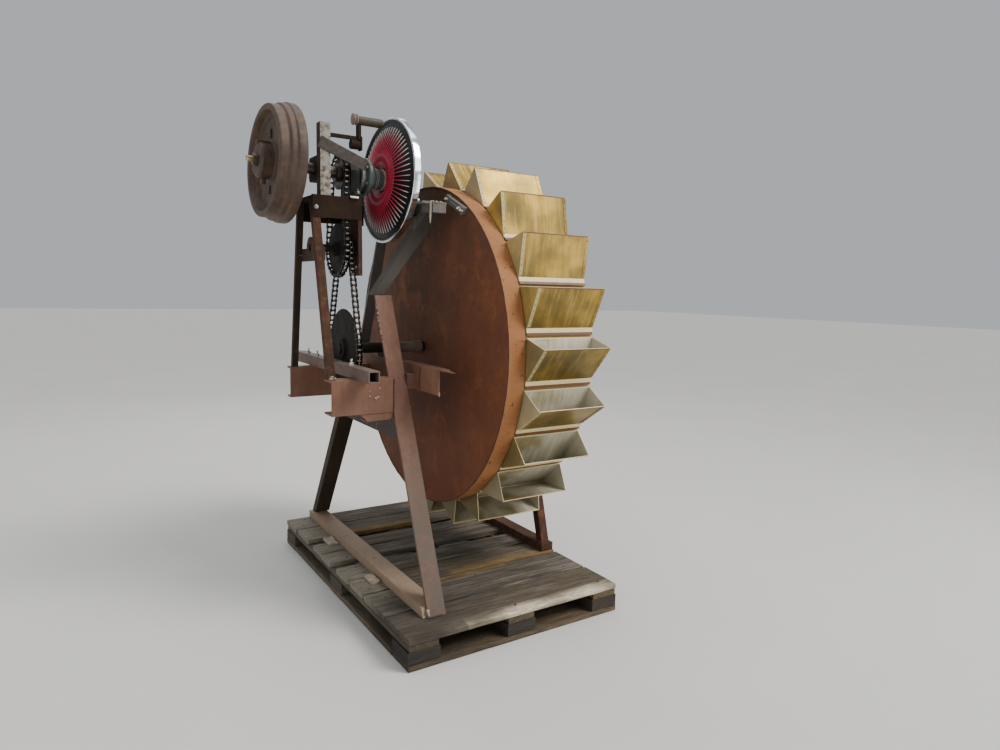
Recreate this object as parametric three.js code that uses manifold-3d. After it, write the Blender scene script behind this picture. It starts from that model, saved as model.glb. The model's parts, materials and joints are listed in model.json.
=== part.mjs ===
import * as THREE from 'three';
import { mergeVertices } from 'three/addons/utils/BufferGeometryUtils.js';
import Module from 'manifold-3d';

const wasm = await Module();
wasm.setup();

// Middle of the wheel's near face, above the middle of the pallet
const faceX = -32;
const axleY = 50;
const axleZ = 905;
const gap = 0.3;

// Water wheel
const bandRadius = 601;
const bandInner = 596.4;
const bandWidth = 64;
const discThickness = 6;
const drumRadius = 596;
const drumWall = 5;
const wheelWidth = 343;
const axleRadius = 19;
const boreRadius = 19.3;
const bucketStart = 67;
const bucketEnd = 341;
const bucketCount = 22;
const bucketSheet = 3;
const lipRadius = 697;
const firstLip = 3.4;

// Pallet
const palletX = 816;
const palletY = 1235;
const boardThickness = 20;
const blockHeight = 41;
const blockX = 110;
const blockY = 120;
const bearerInset = 4;
const boardEdges = [[-617.5, -444], [-438, -262], [-250, -128], [-120, 2], [56, 158],
  [166, 267], [331, 470], [478, 617.5]];

// Drive line: each sprocket's disc ends at the inner side of its chain
const lowerChainX = -320;
const upperChainX = -345;
const chainPitch = 19.05;
const chainWidth = 16;
const chainDepth = 11;
const chainSeat = 0.4;
const sprocketThickness = 8;
const layshaftY = -10;
const layshaftZ = 355;
const layshaftRadius = 14;

// The top shaft passes this point in the upper chain's plane, and isn't quite parallel to the axle
const topShaftY = -31;
const topShaftZ = 612;
const topShaftYaw = 2.5;
const topShaftDrop = 2.4;
const skewBore = 20.4;
const discRadius = (teeth) => chainPitch / (2 * Math.sin(Math.PI / teeth)) - chainSeat - chainDepth / 2;
const bigSprocket = discRadius(49);
const smallSprocket = discRadius(18);
const middleSprocket = discRadius(31);
const topSprocket = discRadius(20);

// Left stand
const railLeft = -276;
const railBack = 562;
const railHeight = 30;
const legLeft = -261;
const legRight = -199;
const legDepth = 48;
const legWall = 9;
const railRight = legRight - legWall - gap;
const legTopZ = 196;
const frontFootY = -574;
const frontSlope = 0.43;
const rearSlope = 0.69;
const beamLow = -280;
const beamTop = -190;

// Platform, trestle and upper frame
const platformLeft = -474;
const platformTop = -76;
const frontWebY = -306;
const rearWebY = 140;
const frontFlange = 72;
const rearFlange = 40;
const channelWall = 6;
const barFront = -126;
const barBack = 94;
const barLow = 449;
const barHigh = 522;
const barRight = -210;
const plateLow = 512;
const postRight = -445;
const frontBarRight = -301;
const bracketFront = -85;
const headTop = 514;
const headLow = 478;
const headLeft = -112;
const headRight = -62;
const headNear = -285;

const part = new THREE.Group();
part.name = 'pelton_wheel';
const machine = new THREE.Group();
machine.position.set(faceX, axleY, axleZ);
part.add(machine);

function finish(color, roughness, metalness) {
  return new THREE.MeshStandardMaterial({ color, roughness, metalness });
}

function welded(geometry) {
  const plain = geometry.clone();
  plain.deleteAttribute('normal');
  plain.deleteAttribute('uv');
  return mergeVertices(plain, 1e-3);
}

function signedVolume(geometry) {
  const points = geometry.getAttribute('position');
  const index = geometry.getIndex();
  const a = new THREE.Vector3();
  const b = new THREE.Vector3();
  const c = new THREE.Vector3();
  let total = 0;
  for (let i = 0; i < index.count; i += 3) {
    a.fromBufferAttribute(points, index.getX(i));
    b.fromBufferAttribute(points, index.getX(i + 1));
    c.fromBufferAttribute(points, index.getX(i + 2));
    total += a.dot(b.cross(c)) / 6;
  }
  return total;
}

function facingOut(geometry) {
  const body = welded(geometry);
  if (signedVolume(body) < 0) {
    const order = body.getIndex().array;
    for (let i = 0; i < order.length; i += 3) {
      const first = order[i];
      order[i] = order[i + 1];
      order[i + 1] = first;
    }
  }
  body.computeVertexNormals();
  return body;
}

function solid(geometry) {
  const body = facingOut(geometry);
  return new wasm.Manifold(new wasm.Mesh({
    numProp: 3,
    vertProperties: new Float32Array(body.getAttribute('position').array),
    triVerts: new Uint32Array(body.getIndex().array),
  }));
}

function fromSolid(body) {
  const mesh = body.getMesh();
  const geometry = new THREE.BufferGeometry();
  geometry.setAttribute('position', new THREE.BufferAttribute(new Float32Array(mesh.vertProperties), 3));
  geometry.setIndex(new THREE.BufferAttribute(new Uint32Array(mesh.triVerts), 1));
  geometry.computeVertexNormals();
  return geometry;
}

function joined(pieces) {
  let body = solid(pieces[0]);
  for (const piece of pieces.slice(1)) {
    body = body.add(solid(piece));
  }
  return fromSolid(body);
}

function cut(whole, tools) {
  let body = solid(whole);
  for (const tool of tools) {
    body = body.subtract(solid(tool));
  }
  return fromSolid(body);
}

function addMesh(group, name, geometry, material) {
  const mesh = new THREE.Mesh(facingOut(geometry), material);
  mesh.name = name;
  group.add(mesh);
  return mesh;
}

function block(x0, x1, y0, y1, z0, z1) {
  const geometry = new THREE.BoxGeometry(x1 - x0, y1 - y0, z1 - z0);
  geometry.translate((x0 + x1) / 2, (y0 + y1) / 2, (z0 + z1) / 2);
  return geometry;
}

function vectors(points) {
  return points.map(([u, v]) => new THREE.Vector2(u, v));
}

function pathOf(points) {
  return new THREE.Path(vectors(points));
}

function circle(y, z, radius, count) {
  const points = [];
  for (let i = 0; i < count; i += 1) {
    const angle = (2 * Math.PI * i) / count;
    points.push([y + radius * Math.cos(angle), z + radius * Math.sin(angle)]);
  }
  return points;
}

// An outline in the plane of the wheel, drawn out along the axle from x0 to x1
function slab(outline, x0, x1, holes = []) {
  const shape = new THREE.Shape(vectors(outline));
  for (const hole of holes) {
    shape.holes.push(pathOf(hole));
  }
  const geometry = new THREE.ExtrudeGeometry(shape, { depth: x1 - x0, bevelEnabled: false });
  const along = new THREE.Matrix4().makeBasis(
    new THREE.Vector3(0, 1, 0),
    new THREE.Vector3(0, 0, 1),
    new THREE.Vector3(1, 0, 0),
  );
  geometry.applyMatrix4(along);
  geometry.translate(x0, 0, 0);
  return geometry;
}

// A section drawn out from start to end, with its first axis leaning towards side
function drawn(outline, start, end, side, holes = []) {
  const shape = new THREE.Shape(vectors(outline));
  for (const hole of holes) {
    shape.holes.push(pathOf(hole));
  }
  const along = new THREE.Vector3().subVectors(end, start);
  const length = along.length();
  along.normalize();
  const u = side.clone().addScaledVector(along, -side.dot(along)).normalize();
  const v = new THREE.Vector3().crossVectors(along, u);
  const geometry = new THREE.ExtrudeGeometry(shape, { depth: length, bevelEnabled: false });
  geometry.applyMatrix4(new THREE.Matrix4().makeBasis(u, v, along).setPosition(start));
  return geometry;
}

function spot(x, y, z) {
  return new THREE.Vector3(x, y, z);
}

// A turned body about a line parallel to the axle, from pairs of radius and distance along it
function turned(pairs, y, z, segments) {
  const geometry = new THREE.LatheGeometry(vectors(pairs), segments);
  geometry.rotateZ(-Math.PI / 2);
  geometry.translate(0, y, z);
  return geometry;
}

// A bearing block with a round top, standing on its foot
function pillow(y, z, footZ, half, radius, bore, x0, x1) {
  const flange = footZ + 15;
  const outline = [[y - half, footZ], [y + half, footZ], [y + half, flange], [y + radius, flange]];
  const steps = 14;
  for (let i = 0; i <= steps; i += 1) {
    const angle = (Math.PI * i) / steps;
    outline.push([y + radius * Math.cos(angle), z + radius * Math.sin(angle)]);
  }
  outline.push([y - radius, flange], [y - half, flange]);
  return slab(outline, x0, x1, [circle(y, z, bore, 32)]);
}

// The outline of a loop laid round two circles
function loopOutline(first, second, grow) {
  const dy = second.y - first.y;
  const dz = second.z - first.z;
  const reach = Math.hypot(dy, dz);
  const heading = Math.atan2(dz, dy);
  const lean = Math.acos((first.r - second.r) / reach);
  const outline = [];
  const steps = 30;
  const addArc = (middle, from, sweep) => {
    const radius = middle.r + grow;
    for (let i = 0; i <= steps; i += 1) {
      const angle = from + (sweep * i) / steps;
      outline.push([middle.y + radius * Math.cos(angle), middle.z + radius * Math.sin(angle)]);
    }
  };
  addArc(second, heading - lean, 2 * lean);
  addArc(first, heading + lean, 2 * Math.PI - 2 * lean);
  return outline;
}

function chain(first, second, middleX) {
  const inside = loopOutline(first, second, chainSeat);
  const outside = loopOutline(first, second, chainSeat + chainDepth);
  return slab(outside, middleX - chainWidth / 2, middleX + chainWidth / 2, [inside]);
}

const primer = finish(0x8a6558, 0.75, 0.35);
const darkSteel = finish(0x4a3c36, 0.7, 0.5);
const greySteel = finish(0x6a6a66, 0.6, 0.6);
const casting = finish(0x5c5048, 0.8, 0.4);
const chainSteel = finish(0x2c2826, 0.5, 0.8);
const side = spot(1, 0, 0);

// Pallet: bottom boards, and a deck of boards on three bearers and nine blocks
const halfX = palletX / 2;
const halfY = palletY / 2;
const blockRows = [[-halfY, -halfY + blockY], [-blockY / 2, blockY / 2], [halfY - blockY, halfY]];
const blockColumns = [[-halfX, -halfX + blockX], [-blockX / 2, blockX / 2], [halfX - blockX, halfX]];
const basePieces = [];
for (const [y0, y1] of blockRows) {
  basePieces.push(block(-halfX, halfX, y0, y1, 0, boardThickness));
}
for (const [x0, x1] of [blockColumns[0], blockColumns[2]]) {
  basePieces.push(block(x0, x1, -halfY, halfY, 0, boardThickness));
}
addMesh(part, 'pallet_base', joined(basePieces), finish(0x6a6054, 0.9, 0));

const bearerLow = boardThickness + gap + blockHeight;
const bearerTop = bearerLow + boardThickness;
const deckTop = bearerTop + boardThickness;
const sunk = 1;
const deckPieces = [];
for (const [x0, x1] of blockColumns) {
  deckPieces.push(block(x0 + bearerInset, x1 - bearerInset, sunk - halfY, halfY - sunk,
    bearerLow - sunk, bearerTop + sunk));
  for (const [y0, y1] of blockRows) {
    deckPieces.push(block(x0, x1, y0, y1, boardThickness + gap, bearerLow));
  }
}
for (const [y0, y1] of boardEdges) {
  deckPieces.push(block(-halfX, halfX, y0, y1, bearerTop, deckTop));
}
addMesh(part, 'pallet_deck', joined(deckPieces), finish(0x7a7268, 0.9, 0));

// Left stand
const padZ = deckTop - axleZ + gap;
const railTop = padZ + railHeight;
const footZ = railTop + gap;
const frontFace = (z) => frontFootY + frontSlope * (z - padZ);
const rearMiddle = (z) => 495 - rearSlope * (z + 668);
addMesh(machine, 'left_base_rail', slab([
  [frontFace(padZ) + legWall + gap * 2, padZ],
  [railBack, padZ],
  [railBack, railTop],
  [frontFace(railTop) + legWall + gap * 2, railTop],
], railLeft, railRight), primer.clone());
const legOutline = (depth) => [
  [frontFace(padZ), padZ],
  [frontFace(padZ) + depth, padZ],
  [frontFace(legTopZ) + depth, legTopZ],
  [frontFace(legTopZ), legTopZ],
];
addMesh(machine, 'left_front_leg', joined([
  slab(legOutline(legWall), legLeft, legRight),
  slab(legOutline(legDepth), legRight - legWall, legRight),
]), primer.clone());
const rearTopZ = beamLow - gap;
addMesh(machine, 'left_rear_leg', slab([
  [rearMiddle(footZ) - 45, footZ],
  [rearMiddle(footZ) - 6, footZ],
  [rearMiddle(rearTopZ) + 22, rearTopZ],
  [rearMiddle(rearTopZ) - 22, rearTopZ],
], legLeft, legRight), darkSteel.clone());
addMesh(machine, 'platform_beam', slab([
  [frontFace(beamLow) + legWall + gap * 2, beamLow],
  [272, beamLow],
  [272, beamTop],
  [frontFace(beamTop) + legWall + gap * 2, beamTop],
], legLeft + 4, legRight - 18), primer.clone());

// Platform: two channels held out to the left and a square tube across them
function channelAlongX(name, webY, flange, x1) {
  const outline = [
    [webY, platformLow],
    [webY + flange, platformLow],
    [webY + flange, platformLow + channelWall],
    [webY + channelWall, platformLow + channelWall],
    [webY + channelWall, platformTop - channelWall],
    [webY + flange, platformTop - channelWall],
    [webY + flange, platformTop],
    [webY, platformTop],
  ];
  addMesh(machine, name, slab(outline, platformLeft, x1), primer.clone());
}
const platformLow = beamTop + gap;
const crossbarWebX = -161;
channelAlongX('platform_front_channel', frontWebY, frontFlange, legLeft - gap);
channelAlongX('platform_rear_channel', rearWebY, rearFlange, crossbarWebX - gap);
const tubeLeft = -389;
const tubeSize = 38;
const tubeWall = 4;
const tubeZ = platformTop + gap;
addMesh(machine, 'platform_tube', drawn(
  [[0, 0], [tubeSize, 0], [tubeSize, tubeSize], [0, tubeSize]],
  spot(tubeLeft, 372, tubeZ),
  spot(tubeLeft, -400, tubeZ),
  side,
  [[[tubeWall, tubeWall], [tubeSize - tubeWall, tubeWall],
    [tubeSize - tubeWall, tubeSize - tubeWall], [tubeWall, tubeSize - tubeWall]]],
), primer.clone());

// Trestle at the platform's outer end: two posts leaning together
const trestleLow = platformTop + gap;
const trestleTop = plateLow - gap;
const frontPost = { foot: -262, lean: 0.262, depth: 24, width: 26 };
const rearPost = { foot: 140.3, lean: -0.16, depth: 18, width: 22 };
function leaning({ foot, lean, depth, width }) {
  const top = foot + lean * (trestleTop - trestleLow);
  return slab([
    [foot, trestleLow],
    [foot + depth, trestleLow],
    [top + depth, trestleTop],
    [top, trestleTop],
  ], postRight - width, postRight);
}
addMesh(machine, 'trestle_front_post', cut(leaning(frontPost), [
  block(-600, 0, -300, barFront + 10 + gap, barLow - gap, 700),
]), primer.clone());
addMesh(machine, 'trestle_rear_post', leaning(rearPost), darkSteel.clone());

// Upper frame of two bars and two cross plates
addMesh(machine, 'upper_frame', joined([
  block(platformLeft + 2, frontBarRight, barFront, barFront + 10, barLow, barHigh),
  block(-440, barRight, barBack - 10, barBack, barLow, barHigh),
  block(-466, -384, barFront + 5, barBack - 5, plateLow, barHigh),
  block(-327, frontBarRight, barFront + 5, barBack - 5, plateLow, barHigh),
  block(frontBarRight - 5, -280, bracketFront, barBack - 5, plateLow, barHigh),
]), primer.clone());

// Light post with its strap, and the arm with its roller
const lightBack = -78;
addMesh(machine, 'light_post', joined([
  block(-441, -406, barFront + 11, lightBack, barHigh + gap, 758),
  drawn([[0, 0], [38, 0], [38, 6], [0, 6]], spot(-436, barFront + 9, 713), spot(-275, barFront + 9, 652),
    spot(0, 0, -1)),
]), finish(0xb8b0a4, 0.8, 0.1));
const armY = -97;
addMesh(machine, 'side_arm', joined([
  block(-406 + gap, -292, armY - 6, armY + 6, 717, 729),
  block(-306, -296, armY - 12, armY + 12, 717, 767.6),
  turned([[0, -330], [16, -330], [16, -300], [6, -300], [6, -297], [0, -297]], armY, 702, 20),
  block(-298, -292, armY - 13, armY + 13, 684, 729),
]), darkSteel.clone());
addMesh(machine, 'top_cylinder', joined([
  turned([[0, -310], [15, -310], [15, -212], [0, -212]], armY, 783, 28),
  turned([[0, -324], [20, -324], [20, -308], [0, -308]], armY, 788, 28),
]), finish(0x6e6248, 0.5, 0.3));

// Bearing crossbar with its spacer to the leg
const crossbarTop = -38;
addMesh(machine, 'bearing_crossbar', joined([
  block(crossbarWebX, crossbarWebX + 6, -430, 300, -124, crossbarTop),
  block(crossbarWebX, crossbarWebX + 42, -430, 300, crossbarTop - 6, crossbarTop),
  block(legRight + gap, crossbarWebX + 2, -272, -228, -120, -70),
]), primer.clone());

// Brace from the leg's top to the bearing head, and the head's rear strut
const braceOutline = [[0, 0], [52, 0], [52, 6], [6, 6], [6, 36], [0, 36]];
const cutBelow = block(-400, 100, -500, 200, 0, legTopZ + gap);
const cutAbove = block(-400, 100, -500, 200, headLow - gap, 700);
const cutOutline = [[0, -60], [80, -60], [80, 60], [0, 60]];
const cutAside = drawn(cutOutline, spot(-259, -114, 138), spot(-42, -259, 513), side);
addMesh(machine, 'corner_brace', cut(
  drawn(braceOutline, spot(-285, -118, 150), spot(-88, -270, 540), side),
  [cutBelow, cutAbove, cutAside],
), greySteel.clone());
addMesh(machine, 'brace_head', cut(joined([
  block(headLeft, headRight, headNear, 172, headLow, headTop),
  block(headLeft - 40, headRight + 2, headNear, headNear + 42, headTop - 8, headTop),
  drawn([[0, 0], [40, 0], [40, 12], [0, 12]], spot(-158, 286, -80), spot(headLeft + 4, 160, 488), side),
]), [block(-400, 100, 200, 500, -300, crossbarTop + gap)]), greySteel.clone());

// Far stand
const farLeft = 384;
const farRight = 438;
const farTop = -38;
const farLeg = [[-290, padZ + 5], [-254, padZ + 5], [-34, farTop - 5], [-70, farTop - 5]];
const farLegBack = farLeg.map(([y, z]) => [-y, z]);
addMesh(machine, 'far_stand', joined([
  block(farLeft, farRight, -292, 292, padZ, padZ + railHeight),
  slab(farLeg, farLeft + 8, farRight - 12),
  slab(farLegBack, farLeft + 8, farRight - 12),
  slab([[-100, farTop - 46], [100, farTop - 46], [82, farTop], [-82, farTop]], farLeft, farRight),
]), primer.clone());

// Bearings
const nearBearing = pillow(0, 0, crossbarTop + gap, 72, 36, boreRadius, -158, -122);
const farBearing = pillow(0, 0, farTop + gap, 72, 36, boreRadius, 392, 428);
addMesh(machine, 'main_bearing_near', nearBearing, casting.clone());
addMesh(machine, 'main_bearing_far', farBearing, casting.clone());
const carrierLeft = postRight + gap;
addMesh(machine, 'layshaft_bearing', cut(joined([
  slab(circle(layshaftY, layshaftZ, 36, 28), carrierLeft, -414),
  block(carrierLeft, carrierLeft + 8, -146, 96, 308, 352),
]), [
  slab(circle(layshaftY, layshaftZ, layshaftRadius + gap, 28), carrierLeft - 1, -413),
]), casting.clone());
addMesh(machine, 'layshaft_bracket', slab([
  [bracketFront, 430],
  [bracketFront, plateLow - gap],
  [barBack - 10 - gap, plateLow - gap],
  [barBack - 10 - gap, 430],
  [36, 312],
  [-36, 262],
  [-88, 262],
  [-88, 312],
], -298, -284, [circle(layshaftY, layshaftZ, layshaftRadius + gap, 28)]), finish(0x7a4a38, 0.85, 0.3));
const topAxis = spot(1, Math.tan(THREE.MathUtils.degToRad(topShaftYaw)),
  -Math.tan(THREE.MathUtils.degToRad(topShaftDrop)));
const onTopShaft = (x) => spot(upperChainX, topShaftY, topShaftZ).addScaledVector(topAxis, x - upperChainX);
const leftSeat = onTopShaft(-424);
const midSeat = onTopShaft(-306);
const rightSeat = onTopShaft(-87);
addMesh(machine, 'top_bearing_left', slab([
  [lightBack + gap, leftSeat.z - 40],
  [leftSeat.y + 35, leftSeat.z - 40],
  [leftSeat.y + 43, leftSeat.z - 25],
  [leftSeat.y + 43, leftSeat.z + 25],
  [leftSeat.y + 35, leftSeat.z + 40],
  [lightBack + gap, leftSeat.z + 40],
], -440, -408, [circle(leftSeat.y, leftSeat.z, skewBore, 32)]), casting.clone());
const midBearing = pillow(midSeat.y, midSeat.z, barHigh + gap, 78, 50, skewBore, -322, -290);
const rightBearing = pillow(rightSeat.y, rightSeat.z, headTop + gap, 108, 40, skewBore, -104, -70);
addMesh(machine, 'top_bearing_mid', midBearing, finish(0x3a3438, 0.6, 0.5));
addMesh(machine, 'top_bearing_right', rightBearing, casting.clone());

// Chains, each one fixed loop
const mainCircle = { y: 0, z: 0, r: bigSprocket };
const smallCircle = { y: layshaftY, z: layshaftZ, r: smallSprocket };
const middleCircle = { y: layshaftY, z: layshaftZ, r: middleSprocket };
const topCircle = { y: topShaftY, z: topShaftZ, r: topSprocket };
addMesh(machine, 'lower_chain', chain(mainCircle, smallCircle, lowerChainX), chainSteel.clone());
addMesh(machine, 'upper_chain', chain(middleCircle, topCircle, upperChainX), chainSteel.clone());

// Water wheel
const wheel = new THREE.Group();
machine.add(wheel);
addMesh(wheel, 'wheel_disc', turned([
  [boreRadius, 0],
  [bandRadius, 0],
  [bandRadius, bandWidth],
  [bandInner, bandWidth],
  [bandInner, discThickness],
  [boreRadius, discThickness],
  [boreRadius, 0],
], 0, 0, 96), finish(0x563424, 0.85, 0.3));
addMesh(wheel, 'wheel_drum', turned([
  [boreRadius, wheelWidth - discThickness],
  [drumRadius - drumWall, wheelWidth - discThickness],
  [drumRadius - drumWall, discThickness + gap],
  [drumRadius, discThickness + gap],
  [drumRadius, wheelWidth],
  [boreRadius, wheelWidth],
  [boreRadius, wheelWidth - discThickness],
], 0, 0, 96), finish(0x8a5a45, 0.85, 0.3));
const halfSprocket = sprocketThickness / 2;
addMesh(wheel, 'main_shaft', turned([
  [0, lowerChainX - 22],
  [axleRadius, lowerChainX - 22],
  [axleRadius, lowerChainX - 14],
  [36, lowerChainX - 14],
  [36, lowerChainX - halfSprocket],
  [bigSprocket, lowerChainX - halfSprocket],
  [bigSprocket, lowerChainX + halfSprocket],
  [36, lowerChainX + halfSprocket],
  [36, lowerChainX + 18],
  [axleRadius, lowerChainX + 18],
  [axleRadius, -46],
  [24, -46],
  [24, -14],
  [axleRadius, -14],
  [axleRadius, wheelWidth + gap],
  [30, wheelWidth + gap],
  [30, wheelWidth + 26],
  [axleRadius, wheelWidth + 26],
  [axleRadius, 436],
  [0, 436],
], 0, 0, 72), finish(0x6c655e, 0.5, 0.7));

// Buckets, each a trough of bent sheet with its own ends
function around(radius, degrees) {
  const angle = THREE.MathUtils.degToRad(degrees);
  return [-radius * Math.cos(angle), radius * Math.sin(angle)];
}
function shifted(from, to, towards) {
  const start = new THREE.Vector2(...from);
  const along = new THREE.Vector2(...to).sub(start).normalize();
  const across = new THREE.Vector2(-along.y, along.x);
  const inward = new THREE.Vector2(...towards).sub(start);
  if (across.dot(inward) < 0) {
    across.negate();
  }
  return { start: start.addScaledVector(across, bucketSheet), along };
}
function bucket() {
  const top = around(600, 3.5);
  const lip = around(lipRadius, 0);
  const foot = around(606, -9.9);
  const root = around(600.5, -9.7);
  const back = shifted(root, top, lip);
  const front = shifted(foot, lip, top);
  const across = new THREE.Vector2().subVectors(front.start, back.start);
  const turn = back.along.x * front.along.y - back.along.y * front.along.x;
  const reach = (across.x * front.along.y - across.y * front.along.x) / turn;
  const apex = back.start.clone().addScaledVector(back.along, reach);
  const farBack = apex.clone().addScaledVector(back.along, 400);
  const farFront = apex.clone().addScaledVector(front.along, 400);
  const outline = [top, lip, foot, around(603.6, -12.2), around(600, -12.2), root];
  const whole = slab(outline, bucketStart, bucketEnd);
  const hollow = slab([apex.toArray(), farBack.toArray(), farFront.toArray()],
    bucketStart + bucketSheet, bucketEnd - bucketSheet);
  return cut(whole, [hollow]);
}
const bucketShape = bucket();
for (let i = 0; i < bucketCount; i += 1) {
  const number = String(i + 1).padStart(2, '0');
  const mesh = addMesh(wheel, `bucket_${number}`, bucketShape, finish(0xc8b06a, 0.45, 0.6));
  mesh.rotation.x = -THREE.MathUtils.degToRad(firstLip + (360 / bucketCount) * i);
}

// Layshaft with its two sprockets
addMesh(machine, 'layshaft', turned([
  [0, -433],
  [layshaftRadius, -433],
  [layshaftRadius, upperChainX - 20],
  [26, upperChainX - 20],
  [26, upperChainX - halfSprocket],
  [middleSprocket, upperChainX - halfSprocket],
  [middleSprocket, upperChainX + halfSprocket],
  [26, upperChainX + halfSprocket],
  [26, lowerChainX - halfSprocket],
  [smallSprocket, lowerChainX - halfSprocket],
  [smallSprocket, lowerChainX + halfSprocket],
  [24, lowerChainX + halfSprocket],
  [24, lowerChainX + 14],
  [layshaftRadius, lowerChainX + 14],
  [layshaftRadius, -262],
  [0, -262],
], layshaftY, layshaftZ, 56), finish(0x4c4641, 0.5, 0.7));

// Top shaft with its sprocket, flywheel, hub and spoked wheel, in a group that lies along the shaft.
// Distances along it are kept as for the axle, and start from the chain's plane
const topSet = new THREE.Group();
topSet.position.set(upperChainX, topShaftY, topShaftZ);
topSet.quaternion.setFromUnitVectors(side, topAxis.clone().normalize());
machine.add(topSet);
function turnedOnTop(pairs, segments) {
  return turned(pairs.map(([radius, x]) => [radius, x - upperChainX]), 0, 0, segments);
}
addMesh(topSet, 'top_shaft', turnedOnTop([
  [0, -660],
  [9, -660],
  [9, -640],
  [axleRadius, -640],
  [axleRadius, upperChainX - 18],
  [30, upperChainX - 18],
  [30, upperChainX - halfSprocket],
  [topSprocket, upperChainX - halfSprocket],
  [topSprocket, upperChainX + halfSprocket],
  [30, upperChainX + halfSprocket],
  [30, upperChainX + 14],
  [axleRadius, upperChainX + 14],
  [axleRadius, -58],
  [0, -58],
], 48), finish(0x8a8078, 0.4, 0.8));
addMesh(topSet, 'flywheel', turnedOnTop([
  [boreRadius, -628],
  [52, -628],
  [56, -622],
  [56, -582],
  [152, -582],
  [160, -608],
  [180, -608],
  [180, -578],
  [188, -572],
  [188, -556],
  [193, -552],
  [193, -524],
  [184, -524],
  [180, -562],
  [70, -566],
  [60, -528],
  [boreRadius, -528],
  [boreRadius, -628],
], 60), finish(0x6a5044, 0.75, 0.45));
addMesh(topSet, 'wheel_hub', turnedOnTop([
  [boreRadius, -281],
  [42, -281],
  [42, -262],
  [66, -260],
  [66, -244],
  [34, -240],
  [34, -172.4],
  [boreRadius, -172.4],
  [boreRadius, -281],
], 40), finish(0x26332e, 0.5, 0.4));
addMesh(topSet, 'spoked_wheel', turnedOnTop([
  [boreRadius, -172],
  [50, -172],
  [50, -203],
  [112, -203],
  [186, -168],
  [212.6, -168],
  [212.6, -142],
  [206, -142],
  [206, -158],
  [184, -158],
  [108, -193],
  [60, -193],
  [60, -164],
  [boreRadius, -164],
  [boreRadius, -172],
], 60), finish(0x241c20, 0.5, 0.3));
addMesh(topSet, 'chrome_rim', turnedOnTop([
  [213, -170],
  [220.5, -170],
  [220.5, -144],
  [213, -144],
  [213, -170],
], 60), finish(0xd8d8dc, 0.15, 1));

export default part;
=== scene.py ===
import json
import math
import random
from functools import partial

import bmesh
import bpy
from mathutils import Euler, Matrix, Vector, noise


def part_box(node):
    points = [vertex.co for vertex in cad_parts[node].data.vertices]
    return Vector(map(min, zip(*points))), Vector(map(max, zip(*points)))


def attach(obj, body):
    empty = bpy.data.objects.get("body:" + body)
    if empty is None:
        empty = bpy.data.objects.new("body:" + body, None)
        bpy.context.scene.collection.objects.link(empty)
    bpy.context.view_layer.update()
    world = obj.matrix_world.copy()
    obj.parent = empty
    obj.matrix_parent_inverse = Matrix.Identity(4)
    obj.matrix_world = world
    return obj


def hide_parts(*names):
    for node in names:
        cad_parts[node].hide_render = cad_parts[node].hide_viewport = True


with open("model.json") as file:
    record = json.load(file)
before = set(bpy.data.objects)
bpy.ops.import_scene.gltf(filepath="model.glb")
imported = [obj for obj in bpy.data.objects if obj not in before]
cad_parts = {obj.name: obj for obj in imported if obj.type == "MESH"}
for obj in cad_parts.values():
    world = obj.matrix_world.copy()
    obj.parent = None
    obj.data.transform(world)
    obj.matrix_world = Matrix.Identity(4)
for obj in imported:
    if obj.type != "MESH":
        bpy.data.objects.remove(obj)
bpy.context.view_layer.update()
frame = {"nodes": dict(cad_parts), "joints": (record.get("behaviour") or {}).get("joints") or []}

nodes = frame["nodes"]
joints = {joint["name"]: joint for joint in frame["joints"]}
axle, layPoint, topPoint = (Vector(joints[name]["pos_m"]) for name in (
    "wheel_spin", "layshaft_spin", "top_shaft_spin"))
topAxis = Vector(joints["top_shaft_spin"]["axis"]).normalized()
alongX = Vector((1, 0, 0))
topPlace = Matrix.Translation(topPoint) @ alongX.rotation_difference(topAxis).to_matrix().to_4x4()
axlePlace = Matrix.Translation(axle)
layPlace = Matrix.Translation(Vector((axle.x, layPoint.y, layPoint.z)))
upperPlane = -345  # the upper chain's plane along the axle
lowerPlane = -320  # the lower chain's plane
print("stage: frame loaded")


# Places are given in millimetres from the middle of the wheel's near face
def at(x, y, z):
    return axle + Vector((x, y, z)) / 1000


# A place along the top shaft, which leans a little to the axle
def onTop(x, y=0.0, z=0.0):
    return topPlace @ (Vector((x - upperPlane, y, z)) / 1000)


# A profile along the top shaft, counted from the upper chain's plane
def topProfile(pairs):
    return [(radius, x - upperPlane) for radius, x in pairs]


cameraSettings = {
    "place": (-1.2482, -2.36615, 1.13007), "yaw": 33.092, "pitch": -7.008, "roll": 1.323,
    "lens": 25.017, "sensor": 36.0, "nearest": 0.05,
}


def makeCamera(settings):
    yaw, pitch, roll = (math.radians(settings[k]) for k in ("yaw", "pitch", "roll"))
    forward = Vector((math.sin(yaw) * math.cos(pitch), math.cos(yaw) * math.cos(pitch), math.sin(pitch)))
    level = Vector((math.cos(yaw), -math.sin(yaw), 0))
    lift = level.cross(forward)
    right = math.cos(roll) * level + math.sin(roll) * lift
    up = -math.sin(roll) * level + math.cos(roll) * lift
    lens = bpy.data.cameras.new("photoCamera")
    lens.lens = settings["lens"]
    lens.sensor_width = settings["sensor"]
    lens.sensor_fit = "HORIZONTAL"
    lens.clip_start = settings["nearest"]
    camera = bpy.data.objects.new("photoCamera", lens)
    bpy.context.scene.collection.objects.link(camera)
    turn = Matrix((right, up, -forward)).transposed().to_4x4()
    camera.matrix_world = Matrix.Translation(Vector(settings["place"])) @ turn
    bpy.context.scene.camera = camera


makeCamera(cameraSettings)


# sRGB hex to linear colour
def linear(hexColor):
    parts = [int(hexColor[i:i + 2], 16) / 255 for i in (1, 3, 5)]
    return (*[c / 12.92 if c <= 0.04045 else ((c + 0.055) / 1.055) ** 2.4 for c in parts], 1.0)


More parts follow.
